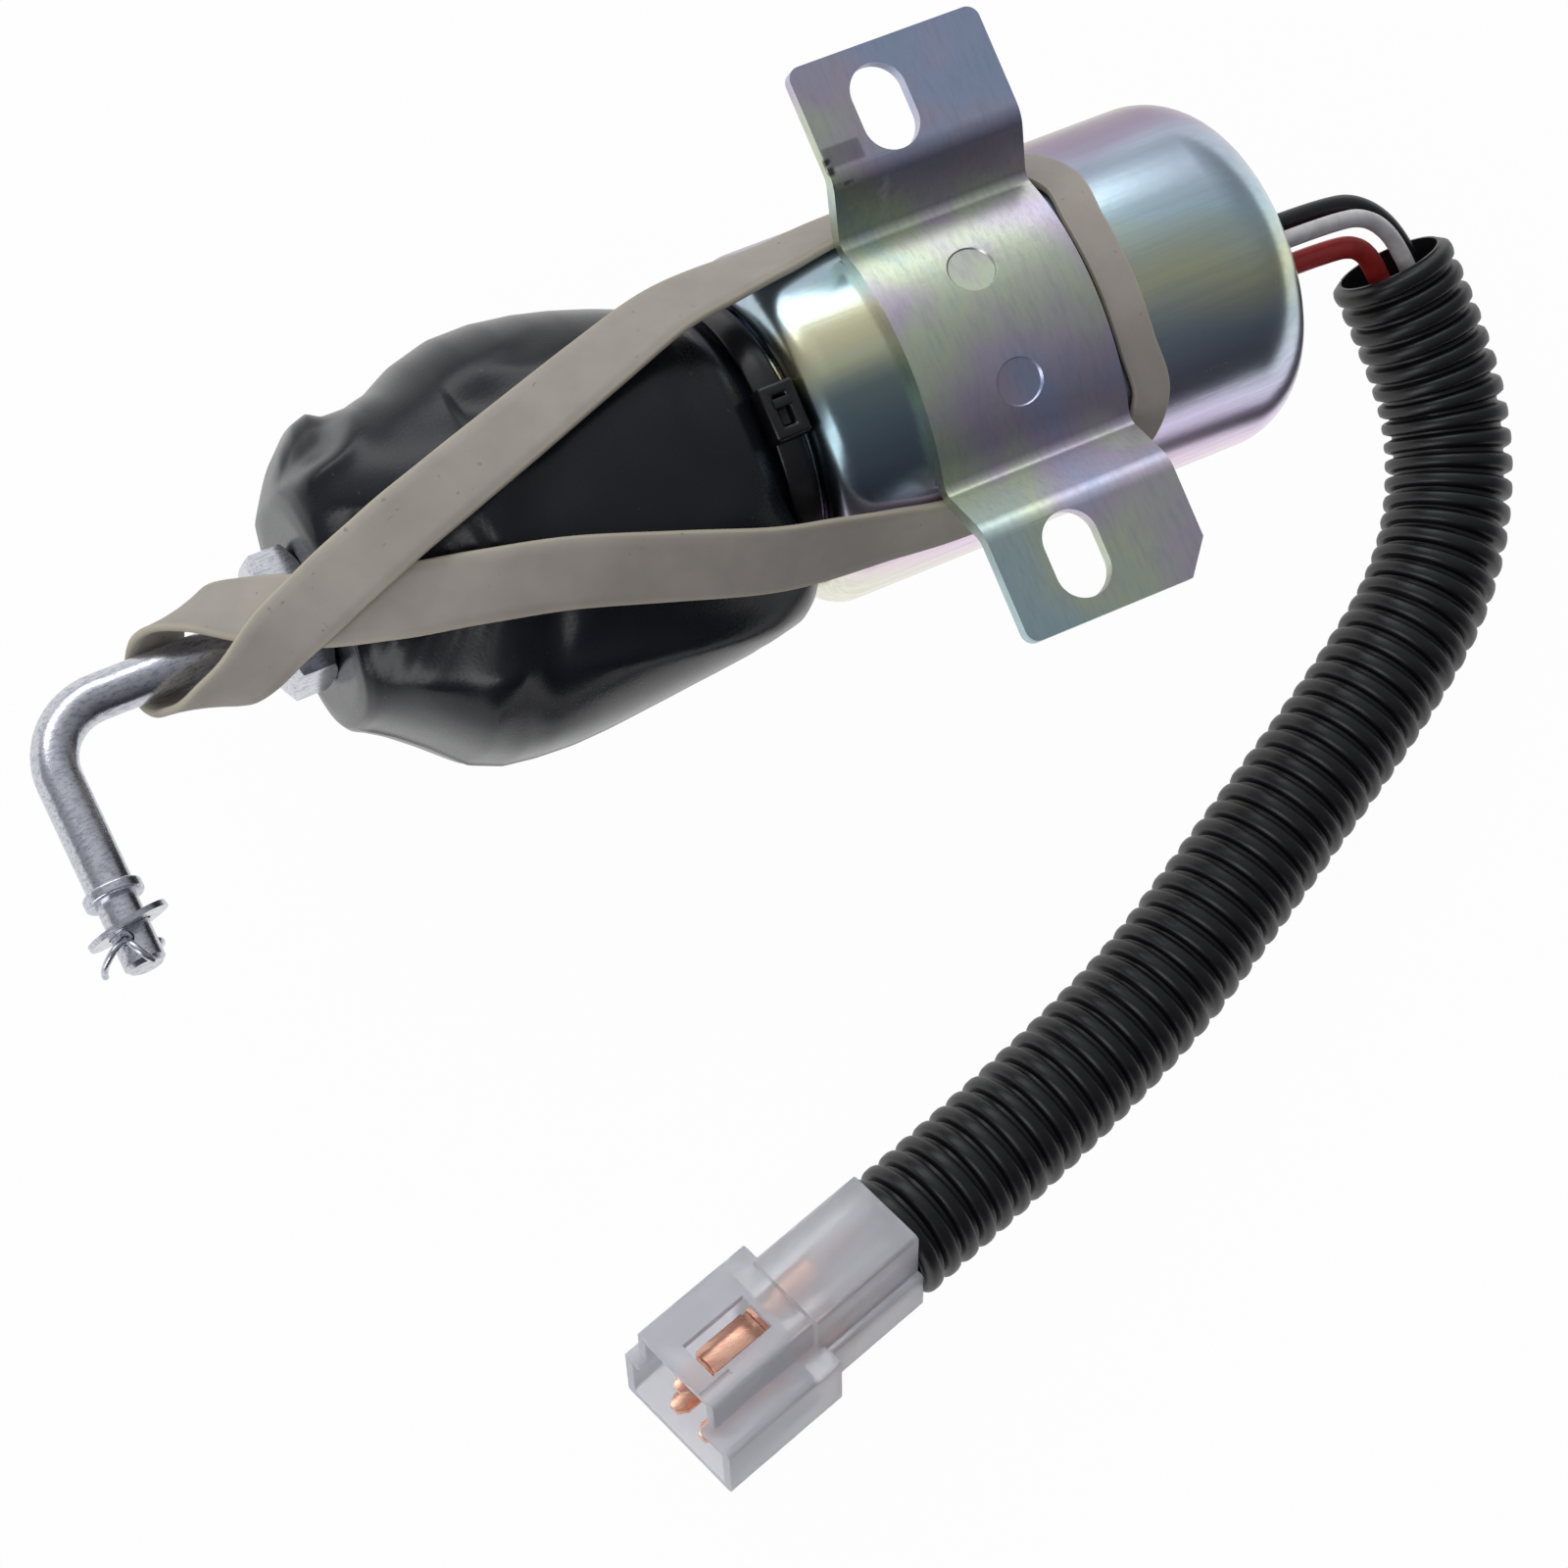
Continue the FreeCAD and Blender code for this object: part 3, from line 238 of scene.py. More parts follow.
class BootSettings(bpy.types.PropertyGroup):
    """Sizes and colour of the rubber boot and its tie."""

    segments: bpy.props.IntProperty(
        name="Segments", description="Faces round the boot", default=200, min=24, max=240)
    wall: bpy.props.FloatProperty(
        name="Wall", description="Thickness of the rubber", default=0.0014, min=0.0005, max=0.003,
        subtype="DISTANCE", unit="LENGTH")
    rubber: bpy.props.FloatVectorProperty(
        name="Rubber", description="Slate grey of the boot", default=(0.0085, 0.0092, 0.0125),
        size=3, min=0, max=1, subtype="COLOR")
    band: bpy.props.FloatVectorProperty(
        name="Band", description="Greige of the elastic band", default=(0.43, 0.39, 0.335),
        size=3, min=0, max=1, subtype="COLOR")


class HarnessSettings(bpy.types.PropertyGroup):
    """Sizes and colours of the leads, their conduit and the connector."""

    pitch: bpy.props.FloatProperty(
        name="Rib pitch", description="Distance from rib to rib",
        default=0.00292, min=0.001, max=0.01, subtype="DISTANCE", unit="LENGTH")
    rib_depth: bpy.props.FloatProperty(
        name="Rib depth", description="Depth of the valleys between ribs",
        default=0.0012, min=0.0002, max=0.003, subtype="DISTANCE", unit="LENGTH")
    diameter: bpy.props.FloatProperty(
        name="Conduit", description="Outer diameter of the conduit",
        default=0.0165, min=0.005, max=0.04, subtype="DISTANCE", unit="LENGTH")
    bore: bpy.props.FloatProperty(
        name="Bore", description="Inner diameter of the conduit",
        default=0.0134, min=0.004, max=0.038, subtype="DISTANCE", unit="LENGTH")
    nylon: bpy.props.FloatVectorProperty(
        name="Nylon", description="Milky nylon of the connector", default=(0.90, 0.91, 0.96),
        size=3, min=0, max=1, subtype="COLOR")


class SolenoidSettings(bpy.types.PropertyGroup):
    """All sizes and colours of the solenoid."""

    can: bpy.props.PointerProperty(type=CanSettings, name="Can", description="Can and bracket")
    boot: bpy.props.PointerProperty(
        type=BootSettings, name="Boot", description="Boot, tie and band")
    harness: bpy.props.PointerProperty(
        type=HarnessSettings, name="Harness", description="Leads and connector")


# Materials

class Value:
    """A shader socket that takes part in Python sums."""

    def __init__(self, maker, socket):
        self.maker = maker
        self.socket = socket

    def math(self, operation, *others):
        return self.maker.node("ShaderNodeMath", {"operation": operation}, [self, *others])

    def __add__(self, other):
        return self.math("ADD", other)

    __radd__ = __add__

    def __mul__(self, other):
        return self.math("MULTIPLY", other)

    __rmul__ = __mul__

    def __sub__(self, other):
        return self.math("SUBTRACT", other)

    def __rsub__(self, other):
        return self.maker.node("ShaderNodeMath", {"operation": "SUBTRACT"}, [other, self])

    def ramp(self, low, high):
        """0 below low, 1 above high, smooth between."""
        return self.maker.node(
            "ShaderNodeMapRange", {"interpolation_type": "SMOOTHSTEP"},
            {"Value": self, "From Min": low, "From Max": high}, "Result")


class Nodes:
    """A node tree being put together."""

    def __init__(self, owner):
        owner.use_nodes = True
        self.tree = owner.node_tree

    def node(self, kind, settings=None, sockets=(), out=0):
        node = self.tree.nodes.new(kind)
        for key, value in (settings or {}).items():
            if key == "stops":
                ramp = node.color_ramp
                while len(ramp.elements) < len(value):
                    ramp.elements.new(1.0)
                for element, (place, colour) in zip(ramp.elements, value):
                    element.position = place
                    element.color = (*colour, 1.0)
            else:
                setattr(node, key, value)
        pairs = sockets.items() if isinstance(sockets, dict) else enumerate(sockets)
        for key, value in pairs:
            self.put(node.inputs[key], value)
        return Value(self, node.outputs[out])

    def put(self, socket, value):
        if isinstance(value, Value):
            self.tree.links.new(value.socket, socket)
        elif hasattr(value, "__len__") and len(value) == 3 and socket.type == "RGBA":
            socket.default_value = (*value, 1.0)
        else:
            socket.default_value = value

    def mix(self, factor, first, second):
        return self.node("ShaderNodeMix", {"data_type": "RGBA"}, {
            0: factor, 6: first, 7: second}, 2)


class Finish(Nodes):
    """A material being put together on the object's own coordinates."""

    def __init__(self, name, **sockets):
        self.material = bpy.data.materials.new(name)
        super().__init__(self.material)
        self.shader = self.tree.nodes["Principled BSDF"]
        self.at = self.node("ShaderNodeTexCoord", out="Object")
        for key, value in sockets.items():
            self.feed(key.replace("_", " "), value)

    def feed(self, name, value):
        self.put(self.shader.inputs[name], value)

    def split(self):
        node = self.node("ShaderNodeSeparateXYZ", None, [self.at]).socket.node
        return [Value(self, s) for s in node.outputs]

    def noise(self, scale, detail=2.0, roughness=0.5, distortion=0.0):
        """Noise of one scale, or drawn out by a scale for each axis."""
        vector = self.at
        if isinstance(scale, tuple):
            vector = self.node("ShaderNodeMapping", None, {"Vector": vector, "Scale": scale})
            scale = 1.0
        return self.node("ShaderNodeTexNoise", None, {
            "Vector": vector, "Scale": scale, "Detail": detail, "Roughness": roughness,
            "Distortion": distortion})

    def done(self, colour, rough, height, strength, distance=0.0002):
        """Feed colour, roughness and bump, and give back the material."""
        self.feed("Base Color", colour)
        self.feed("Roughness", rough)
        self.feed("Normal", self.node("ShaderNodeBump", None, {
            "Height": height, "Strength": strength, "Distance": distance}, "Normal"))
        return self.material


def zinc_can_finish(settings):
    """Glossy passivated zinc whose tint turns with the angle round the can and drifts along it; the
    tint is partly the zinc's own colour and partly painted reflection light and shade, and the
    front part carries a painted gold reflection band and a painted dark reflection band.
    """
    f = Finish("zinc_can", Metallic=1.0)
    x, y, z = f.split()
    angle = y.math("ARCTAN2", z - AXIS_Z * MM)
    drift = f.noise((34.0, 60.0, 60.0))
    turn = angle * (1.0 / math.pi) + 0.36 + x * 2.0 + drift * 0.26
    blue, pink, straw = (tuple(c) for c in (settings.blue, settings.pink, settings.straw))
    # The tint by angle round the can is partly the zinc's own colour and partly painted reflection
    # light and shade; its darker stops are painted shade.
    tint = f.node("ShaderNodeValToRGB", {"stops": [
        (0.0, (0.80, 0.80, 0.66)), (0.10, pink), (0.20, (0.70, 0.62, 0.86)),
        (0.30, (0.58, 0.64, 0.76)), (0.40, (0.42, 0.52, 0.56)), (0.52, straw), (0.62, blue),
        (0.72, (0.44, 0.52, 0.62)), (0.80, (0.34, 0.30, 0.42)), (0.90, (0.26, 0.18, 0.26)),
        (1.0, (0.46, 0.44, 0.32))]}, [turn])
    streaks = f.noise((30.0, 900.0, 900.0), 3.0, 0.6)
    speck = f.noise(2600.0)
    shade = f.mix(streaks.ramp(0.35, 0.7) * 0.20, tint, (0.34, 0.36, 0.40))
    shade = f.mix(speck.ramp(0.62, 0.75) * 0.12, shade, (0.30, 0.30, 0.32))
    # Painted reflection on the can's front part: a painted gold reflection band towards +Y, and a
    # painted dark reflection band round the crown towards -Y.
    front = (x * -1.0).ramp(0.0, 0.005)
    painted_gold_reflection = angle.ramp(0.08, 0.22) * (1.0 - angle.ramp(0.32, 0.52))
    shade = f.mix(front * painted_gold_reflection * 0.60, shade, (0.76, 0.66, 0.34))
    # Painted dark reflection band, dark teal, on the front part.
    dark = (1.0 - angle.ramp(-0.08, 0.14)) * angle.ramp(-0.78, -0.56)
    shade = f.mix(front * dark * 0.75, shade, (0.10, 0.17, 0.19))
    return f.done(shade, 0.17 + streaks * 0.10 + speck * 0.05,
                  streaks * 0.5 + f.noise(700.0) * 0.5, 0.08)


def zinc_bracket_finish():
    """Satin passivated zinc with cloudy tints, rolling marks, grey smudges and a worn ink patch."""
    f = Finish("zinc_bracket", Metallic=1.0)
    x, y, z = f.split()
    cloud = f.noise((40.0, 34.0, 40.0), 3.0, 0.55, 0.4)
    hue = (cloud * 1.15 + y * 4.0 + x * 7.0 - 0.05).math("FRACT")
    tint = f.node("ShaderNodeValToRGB", {"stops": [
        (0.0, (0.38, 0.53, 0.64)), (0.28, (0.46, 0.61, 0.62)), (0.45, (0.60, 0.67, 0.50)),
        (0.58, (0.58, 0.52, 0.62)), (0.72, (0.46, 0.54, 0.74)), (1.0, (0.38, 0.53, 0.64))]}, [hue])
    grain = f.noise((1500.0, 260.0, 900.0), 3.0, 0.6)
    speck = f.noise(3200.0)
    shade = f.mix(grain.ramp(0.4, 0.75) * 0.28, tint, (0.30, 0.34, 0.38))
    smudge = f.noise(210.0, 3.0, 0.6, 0.8).ramp(0.56, 0.66)
    dx, dy = x + 0.0050, y - 0.0215
    near = 1.0 - (dx * dx + dy * dy).ramp(0.0000015, 0.00004)
    shade = f.mix(smudge * near * 0.15, shade, (0.10, 0.11, 0.12))

    def spot(cx, cy, wide, high):
        """1 inside a soft-edged rectangle on the tab."""
        return (1.0 - (x - cx).math("ABSOLUTE").ramp(wide, wide + 0.0005)) * (
            1.0 - (y - cy).math("ABSOLUTE").ramp(high, high + 0.0005))

    top = z.ramp(-0.0009, -0.0004)
    worn = f.noise(900.0).ramp(0.35, 0.55)
    shade = f.mix(spot(-0.0072, 0.0250, 0.0022, 0.0010) * top * 0.50, shade, (0.08, 0.085, 0.095))
    dabs = spot(-0.0099, 0.0240, 0.0006, 0.0008) + spot(-0.0086, 0.0211, 0.0012, 0.0005)
    dabs = dabs.math("MINIMUM", 1.0)
    shade = f.mix(dabs * worn * top * 0.85, shade, (0.015, 0.016, 0.018))
    return f.done(shade, 0.30 + grain * 0.12 + speck * 0.06 + smudge * near * 0.2,
                  grain * 0.6 + speck * 0.3, 0.14)


def bright_zinc_finish():
    """Bright grainy zinc of the rod, nuts and pin."""
    f = Finish("bright_zinc", Metallic=1.0)
    grain = f.noise((900.0, 2600.0, 2600.0), 3.0, 0.65)
    pits = f.noise(2600.0, 2.0, 0.6)
    shade = f.mix(grain.ramp(0.42, 0.72), (0.62, 0.63, 0.68), (0.36, 0.37, 0.43))
    shade = f.mix(pits.ramp(0.60, 0.72) * 0.5, shade, (0.24, 0.24, 0.27))
    return f.done(shade, 0.18 + grain * 0.16, grain + pits * 0.6, 0.16, 0.0001)


def boot_finish(settings):
    """Semi-gloss slate rubber with faint dust and a soft mould grain."""
    f = Finish("boot_rubber", Specular_IOR_Level=0.36)
    cloud = f.noise(90.0, 3.0, 0.6)
    fine = f.noise(2400.0)
    dust = f.noise(1100.0, 1.0).ramp(0.76, 0.80)
    base = tuple(settings.rubber)
    shade = f.mix(cloud.ramp(0.3, 0.7), base, tuple(1.35 * c for c in base))
    shade = f.mix(dust * 0.30, shade, (0.12, 0.11, 0.11))
    return f.done(shade, 0.20 + cloud * 0.10 + fine * 0.05, fine * 0.5 + cloud, 0.10, 0.0003)


def moulded_black_finish(name, base, rough, grain=1800.0):
    """Moulded black plastic, a little blue, with a fine uneven gloss."""
    f = Finish(name)
    cloud = f.noise(240.0)
    fine = f.noise(grain)
    shade = f.mix(cloud.ramp(0.35, 0.7), base, tuple(1.6 * c for c in base))
    return f.done(shade, rough - 0.05 + cloud * 0.10 + fine * 0.05, fine + cloud, 0.08)


def band_finish(settings):
    """Greige elastic with paler yellow edges and dark specks."""
    f = Finish("band_rubber")
    edge = f.node("ShaderNodeAttribute", {"attribute_name": "edge"}, (), "Fac")
    cloud = f.noise(160.0, 3.0, 0.6)
    fine = f.noise(2600.0)
    specks = f.noise(900.0, 1.0).ramp(0.73, 0.78)
    base = tuple(settings.band)
    darker, paler = (tuple(k * c for c in base) for k in (0.93, 1.05))
    shade = f.mix(cloud.ramp(0.3, 0.7), darker, paler)
    shade = f.mix(edge.ramp(0.80, 1.0) * 0.55, shade, (0.60, 0.55, 0.40))
    shade = f.mix(specks * 0.45, shade, (0.20, 0.16, 0.12))
    return f.done(shade, 0.52 + cloud * 0.14, fine * 0.4 + cloud, 0.12)


def nylon_finish(settings):
    """Milky nylon that lets light through."""
    f = Finish("milky_nylon", Transmission_Weight=0.62, IOR=1.40, Subsurface_Weight=0.5,
               Subsurface_Radius=(0.004, 0.004, 0.0045))
    cloud = f.noise(160.0)
    base = tuple(settings.nylon)
    shade = f.mix(cloud.ramp(0.3, 0.7), base, tuple(min(1.0, 1.04 * c) for c in base))
    return f.done(shade, 0.30 + cloud * 0.14, f.noise(700.0), 0.06)


def copper_finish():
    """Rose copper of the blades, rolled along their length."""
    f = Finish("rose_copper", Metallic=1.0)
    rolled = f.noise((300.0, 1200.0, 900.0), 3.0, 0.6)
    shade = f.mix(rolled.ramp(0.35, 0.7), (0.88, 0.52, 0.38), (0.66, 0.34, 0.24))
    return f.done(shade, 0.20 + rolled * 0.14, rolled, 0.10, 0.0001)


def insulation_finish(name, base):
    """Smooth insulation with slight handling marks."""
    f = Finish(name)
    cloud = f.noise(420.0, 3.0, 0.6)
    shade = f.mix(cloud.ramp(0.3, 0.75), base, tuple(0.78 * c for c in base))
    return f.done(shade, 0.30 + cloud * 0.16, cloud, 0.08, 0.0001)


def inner_finish(name, first, second, metallic, scale):
    """Plain worked finish of the pieces inside the can."""
    f = Finish(name, Metallic=metallic)
    turned = f.noise((scale, scale * 0.2, scale * 0.2), 3.0, 0.6)
    shade = f.mix(turned.ramp(0.35, 0.7), first, second)
    return f.done(shade, 0.28 + turned * 0.2, turned, 0.12, 0.0001)


# Modelling by hand

def nothing():
    """Leave edit mode and deselect everything."""
    if bpy.context.object and bpy.context.object.mode != "OBJECT":
        bpy.ops.object.mode_set(mode="OBJECT")
    bpy.ops.object.select_all(action="DESELECT")


def alone(obj):
    """Select and activate one object."""
    nothing()
    obj.select_set(True)
    bpy.context.view_layer.objects.active = obj


def apply_modifier(obj, kind, **settings):
    alone(obj)
    modifier = obj.modifiers.new(kind.title(), kind)
    for key, value in settings.items():
        setattr(modifier, key, value)
    bpy.ops.object.modifier_apply(modifier=modifier.name)


def smooth(obj, degrees=35.0):
    alone(obj)
    bpy.ops.object.shade_smooth_by_angle(angle=math.radians(degrees))


def outward(obj, merge=0.0):
    """Merge doubles if asked, and turn all faces outward."""
    alone(obj)
    bpy.ops.object.mode_set(mode="EDIT")
    bpy.ops.mesh.select_all(action="SELECT")
    if merge:
        bpy.ops.mesh.remove_doubles(threshold=merge)
    bpy.ops.mesh.normals_make_consistent(inside=False)
    bpy.ops.object.mode_set(mode="OBJECT")


def dress(obj, name, material, body, node):
    """Name a finished piece, give it its material and let it stand for its node.

    It rides on its body, or where it has none its transform is baked into its mesh.
    """
    obj.name = name
    obj.data.name = name
    obj.data.materials.clear()
    obj.data.materials.append(material)
    alone(obj)
    bpy.ops.object.transform_apply()
    if body:
        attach(obj, body)
    else:
        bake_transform(obj)
    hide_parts(node)


def new_object(name, data):
    """An object in the scene."""
    obj = bpy.data.objects.new(name, data)
    bpy.context.scene.collection.objects.link(obj)
    return obj


def mesh_piece(name, verts, faces):
    """An object from lists of vertices and faces."""
    mesh = bpy.data.meshes.new(name)
    mesh.from_pydata(verts, [], faces)
    return new_object(name, mesh)


def bridge(a, b, count):
    """Faces between two closed rows of count vertices that start at a and at b."""
    ends = [(i, (i + 1) % count) for i in range(count)]
    return [(a + i, a + j, b + j, b + i) for i, j in ends]


def block(place, size):
    """A cuboid, in metres."""
    nothing()
    bpy.ops.mesh.primitive_cube_add(size=1.0, location=place, scale=size)
    return bpy.context.object


def turned(outline, segments, closed_end=True):
    """Extrude a circle along the solenoid's axis through (x, radius) pairs in mm."""
    nothing()
    x, r = outline[0]
    bpy.ops.mesh.primitive_circle_add(
        vertices=segments, radius=r * MM, fill_type="NOTHING",
        location=(x * MM, 0.0, AXIS_Z * MM), rotation=(0.0, math.radians(90.0), 0.0))
    obj = bpy.context.object
    bpy.ops.object.transform_apply()
    bpy.ops.object.mode_set(mode="EDIT")
    bpy.ops.mesh.select_all(action="SELECT")
    for nx, nr in outline[1:]:
        bpy.ops.mesh.extrude_edges_move(TRANSFORM_OT_translate={"value": ((nx - x) * MM, 0.0, 0.0)})
        k = nr / r
        bpy.ops.transform.resize(value=(1.0, k, k), center_override=(nx * MM, 0.0, AXIS_Z * MM))
        x, r = nx, nr
    if closed_end:
        bpy.ops.mesh.edge_face_add()
        bpy.ops.mesh.poke()
    bpy.ops.object.mode_set(mode="OBJECT")
    return obj


def arc(cx, cr, r, start, stop, steps):
    """Points of an arc in the (x, radius) plane, angles from +x in degrees."""
    out = []
    for i in range(steps + 1):
        a = math.radians(start + (stop - start) * i / steps)
        out.append((cx + r * math.cos(a), cr + r * math.sin(a)))
    return out


def from_node(node, bevel=0.0, angle=35.0, tidy=True):
    """A merged copy of a CAD node's mesh, with its sharp edges rounded if asked."""
    obj = new_object(node + "_piece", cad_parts[node].data.copy())
    alone(obj)
    bpy.ops.object.mode_set(mode="EDIT")
    bpy.ops.mesh.select_all(action="SELECT")
    bpy.ops.mesh.remove_doubles(threshold=1e-6)
    if tidy:
        bpy.ops.mesh.dissolve_limited(angle_limit=math.radians(0.6))
    bpy.ops.mesh.customdata_custom_splitnormals_clear()
    bpy.ops.object.mode_set(mode="OBJECT")
    if bevel:
        apply_modifier(obj, "BEVEL", width=bevel, segments=2, limit_method="ANGLE",
                       angle_limit=math.radians(angle), harden_normals=False)
    smooth(obj, angle)
    return obj


# Soft shapes

def loop_values(values, steps):
    """Smooth closed series through the values."""
    n = len(values)
    out = []
    for i in range(n):
        p0, p1, p2, p3 = (values[(i + k - 1) % n] for k in range(4))
        for s in range(steps):
            f = s / steps
            out.append(0.5 * (2 * p1 + (p2 - p0) * f + (2 * p0 - 5 * p1 + 4 * p2 - p3) * f * f
                              + (3 * p1 - p0 - 3 * p2 + p3) * f ** 3))
    return out


def band_line(steps=8):
    """Points, sideways directions and normals of the elastic band, in mm."""
    xs, rs, ws = (loop_values([p[k] for p in BAND_ROUTE], steps) for k in (0, 2, 3))
    turns = [math.radians(p[1]) for p in BAND_ROUTE]
    sines, cosines = (loop_values([f(a) * 100 for a in turns], steps) for f in (math.sin, math.cos))
    points, normals = [], []
    for x, r, s, c in zip(xs, rs, sines, cosines):
        out = Vector((0.0, s, c)).normalized()
        points.append(Vector((x, 0.0, AXIS_Z)) + out * r)
        normals.append(out)
    line = []
    n = len(points)
    for i in range(n):
        tangent = (points[(i + 1) % n] - points[i - 1]).normalized()
        side = tangent.cross(normals[i]).normalized()
        line.append((points[i], side, side.cross(tangent).normalized(), ws[i]))
    return line


def ease(value, low, high):
    """0 below low, 1 above high, smooth between."""
    f = min(1.0, max(0.0, (value - low) / (high - low)))
    return f * f * (3.0 - 2.0 * f)


def beside(x, y, line):
    """Distance in plan from a line, and whether the place is on its left."""
    best = None
    for (ax, ay), (bx, by) in zip(line, line[1:]):
        dx, dy = bx - ax, by - ay
        f = min(1.0, max(0.0, ((x - ax) * dx + (y - ay) * dy) / (dx * dx + dy * dy)))
        px, py = x - ax - f * dx, y - ay - f * dy
        far = math.hypot(px, py)
        if best is None or far < best[0]:
            best = (far, dx * (y - ay) - dy * (x - ax) > 0)
    return best


def boot_relief(x, y):
    """Height in mm that the hollows, folds and shelf add to the boot's upper side."""
    height = 0.0
    for cx, cy, high, reach_x, reach_y in BOOT_DENTS:
        height += high * math.exp(-((x - cx) / reach_x) ** 2 - ((y - cy) / reach_y) ** 2)
    for high, left, right, line in BOOT_FOLDS:
        far, on_left = beside(x, y, line)
        height += high * math.exp(-(far / (left if on_left else right)) ** FOLD_POWER)
    far, on_left = beside(x, y, BOOT_SHELF)
    if not on_left:
        height -= SHELF_DROP * ease(far, 0.0, SHELF_EASE)
    return height + 0.5 * math.exp(-(far / 1.2) ** 2)


def sculpt_boot(obj):
    """Push the turned boot into its slack, folded shape, flat below and pressed in by the band."""
    band = [(p, w) for p, _, _, w in band_line(3) if -84.0 < p.x < -24.0 and p.z > AXIS_Z]
    around = len(obj.data.vertices) // len(BOOT_OUTLINE)
    for v in obj.data.vertices:
        x, up, down, top, square = BOOT_OUTLINE[v.index // around]
        angle = math.atan2(v.co.y / MM, v.co.z / MM - AXIS_Z)
        s, c = math.sin(angle), math.cos(angle)
        wide = up if s > 0 else down
        high = top if c > 0 else min(top + 1.0, BOOT_UNDER)
        square += 0.5 * ease(-s, 0.1, 0.5) * ease(-x, 30.0, 36.0)
        r = (abs(s / wide) ** square + abs(c / high) ** square) ** (-1.0 / square)
        slack = ease(-x, 27.5, 32.0)
        shift = 3.6 * ease(-s, 0.45, 0.85) * ease(-x, 27.2, 28.6) * ease(x, -40.0, -30.0)
        shift += FRONT_SLANT * max(0.0, r * s - SEAT_REACH) * ease(-x, 66.0, 80.0)
        x += shift
        place = Vector((x * 0.05, math.sin(angle) * 1.1, math.cos(angle) * 1.1))
        r += noise.noise(place + Vector((7.3, 1.9, 4.4))) * 0.6 * slack * ease(x, -81.5, -76.0)
        seam = math.exp(-((math.degrees(angle) - SEAM_ANGLE) / 1.5) ** 2)
        r += 0.35 * seam * slack * ease(x, -81.5, -79.0)
        lift = boot_relief(x, r * s) * slack * ease(x, -82.5, -79.6)
        lift *= min(1.0, max(0.0, r * c / RELIEF_FADE))
        here = Vector((x, r * s, AXIS_Z + r * c + lift))
        for p, w in band:
            gap = (here - p).length
            reach = math.hypot(here.y, here.z - AXIS_Z)
            limit = math.hypot(p.y, p.z - AXIS_Z) - BAND_PRESS
            if gap < w * PRESS_REACH and reach > limit:
                near = min(1.0, (w * PRESS_REACH - gap) / (w * PRESS_EASE))
                k = 1.0 + (limit / reach - 1.0) * near
                here = Vector((x, here.y * k, AXIS_Z + (here.z - AXIS_Z) * k))
        z = here.z
        if z < FLOOR_Z + FLOOR_EASE:
            z = FLOOR_Z + FLOOR_EASE - (FLOOR_Z + FLOOR_EASE - z) * FLOOR_PRESS
        v.co = Vector((here.x, here.y, max(z, FLOOR_Z + FLOOR_GAP))) * MM


def boot_outline():
    """Stations of the boot, closer together than the table's."""
    rows = []
    for a, b in zip(BOOT_SECTIONS, BOOT_SECTIONS[1:]):
        count = max(2, int(math.hypot(a[0] - b[0], a[1] - b[1]) / BOOT_STEP))
        for i in range(count):
            f = i / count
            rows.append(tuple(p + (q - p) * f for p, q in zip(a, b)))
    rows.append(BOOT_SECTIONS[-1])
    return rows


BOOT_OUTLINE = boot_outline()


# Cords

def nurbs_cord(name, route, diameter, resolution=12):
    """An open cord through control points in mm, lying on its smooth line."""
    curve = bpy.data.curves.new(name, "CURVE")
    curve.dimensions = "3D"
    spline = curve.splines.new("NURBS")
    spline.points.add(len(route) - 1)
    for point, place in zip(spline.points, route):
        point.co = (*(c * MM for c in place), 1.0)
    spline.order_u = 3
    spline.use_endpoint_u = True
    spline.resolution_u = resolution
    curve.resolution_u = resolution
    curve.bevel_depth = diameter / 2
    curve.bevel_resolution = 6
    curve.use_fill_caps = True
    return new_object(name, curve)


def line_of(route):
    """Points along the route's smooth line, in metres."""
    guide = nurbs_cord("route_guide", route, 0.0, 40)
    bpy.context.view_layer.update()
    mesh = bpy.data.meshes.new_from_object(guide)
    points = [v.co.copy() for v in mesh.vertices]
    bpy.data.meshes.remove(mesh)
    bpy.data.objects.remove(guide)
    return points


def length_of(points):
    return sum((b - a).length for a, b in zip(points, points[1:]))


def at_distance(points, distance):
    """Point and direction at a distance along a line."""
    for a, b in zip(points, points[1:]):
        step = (b - a).length
        if distance <= step or b is points[-1]:
            return a + (b - a) * min(1.0, distance / step), (b - a).normalized()
        distance -= step


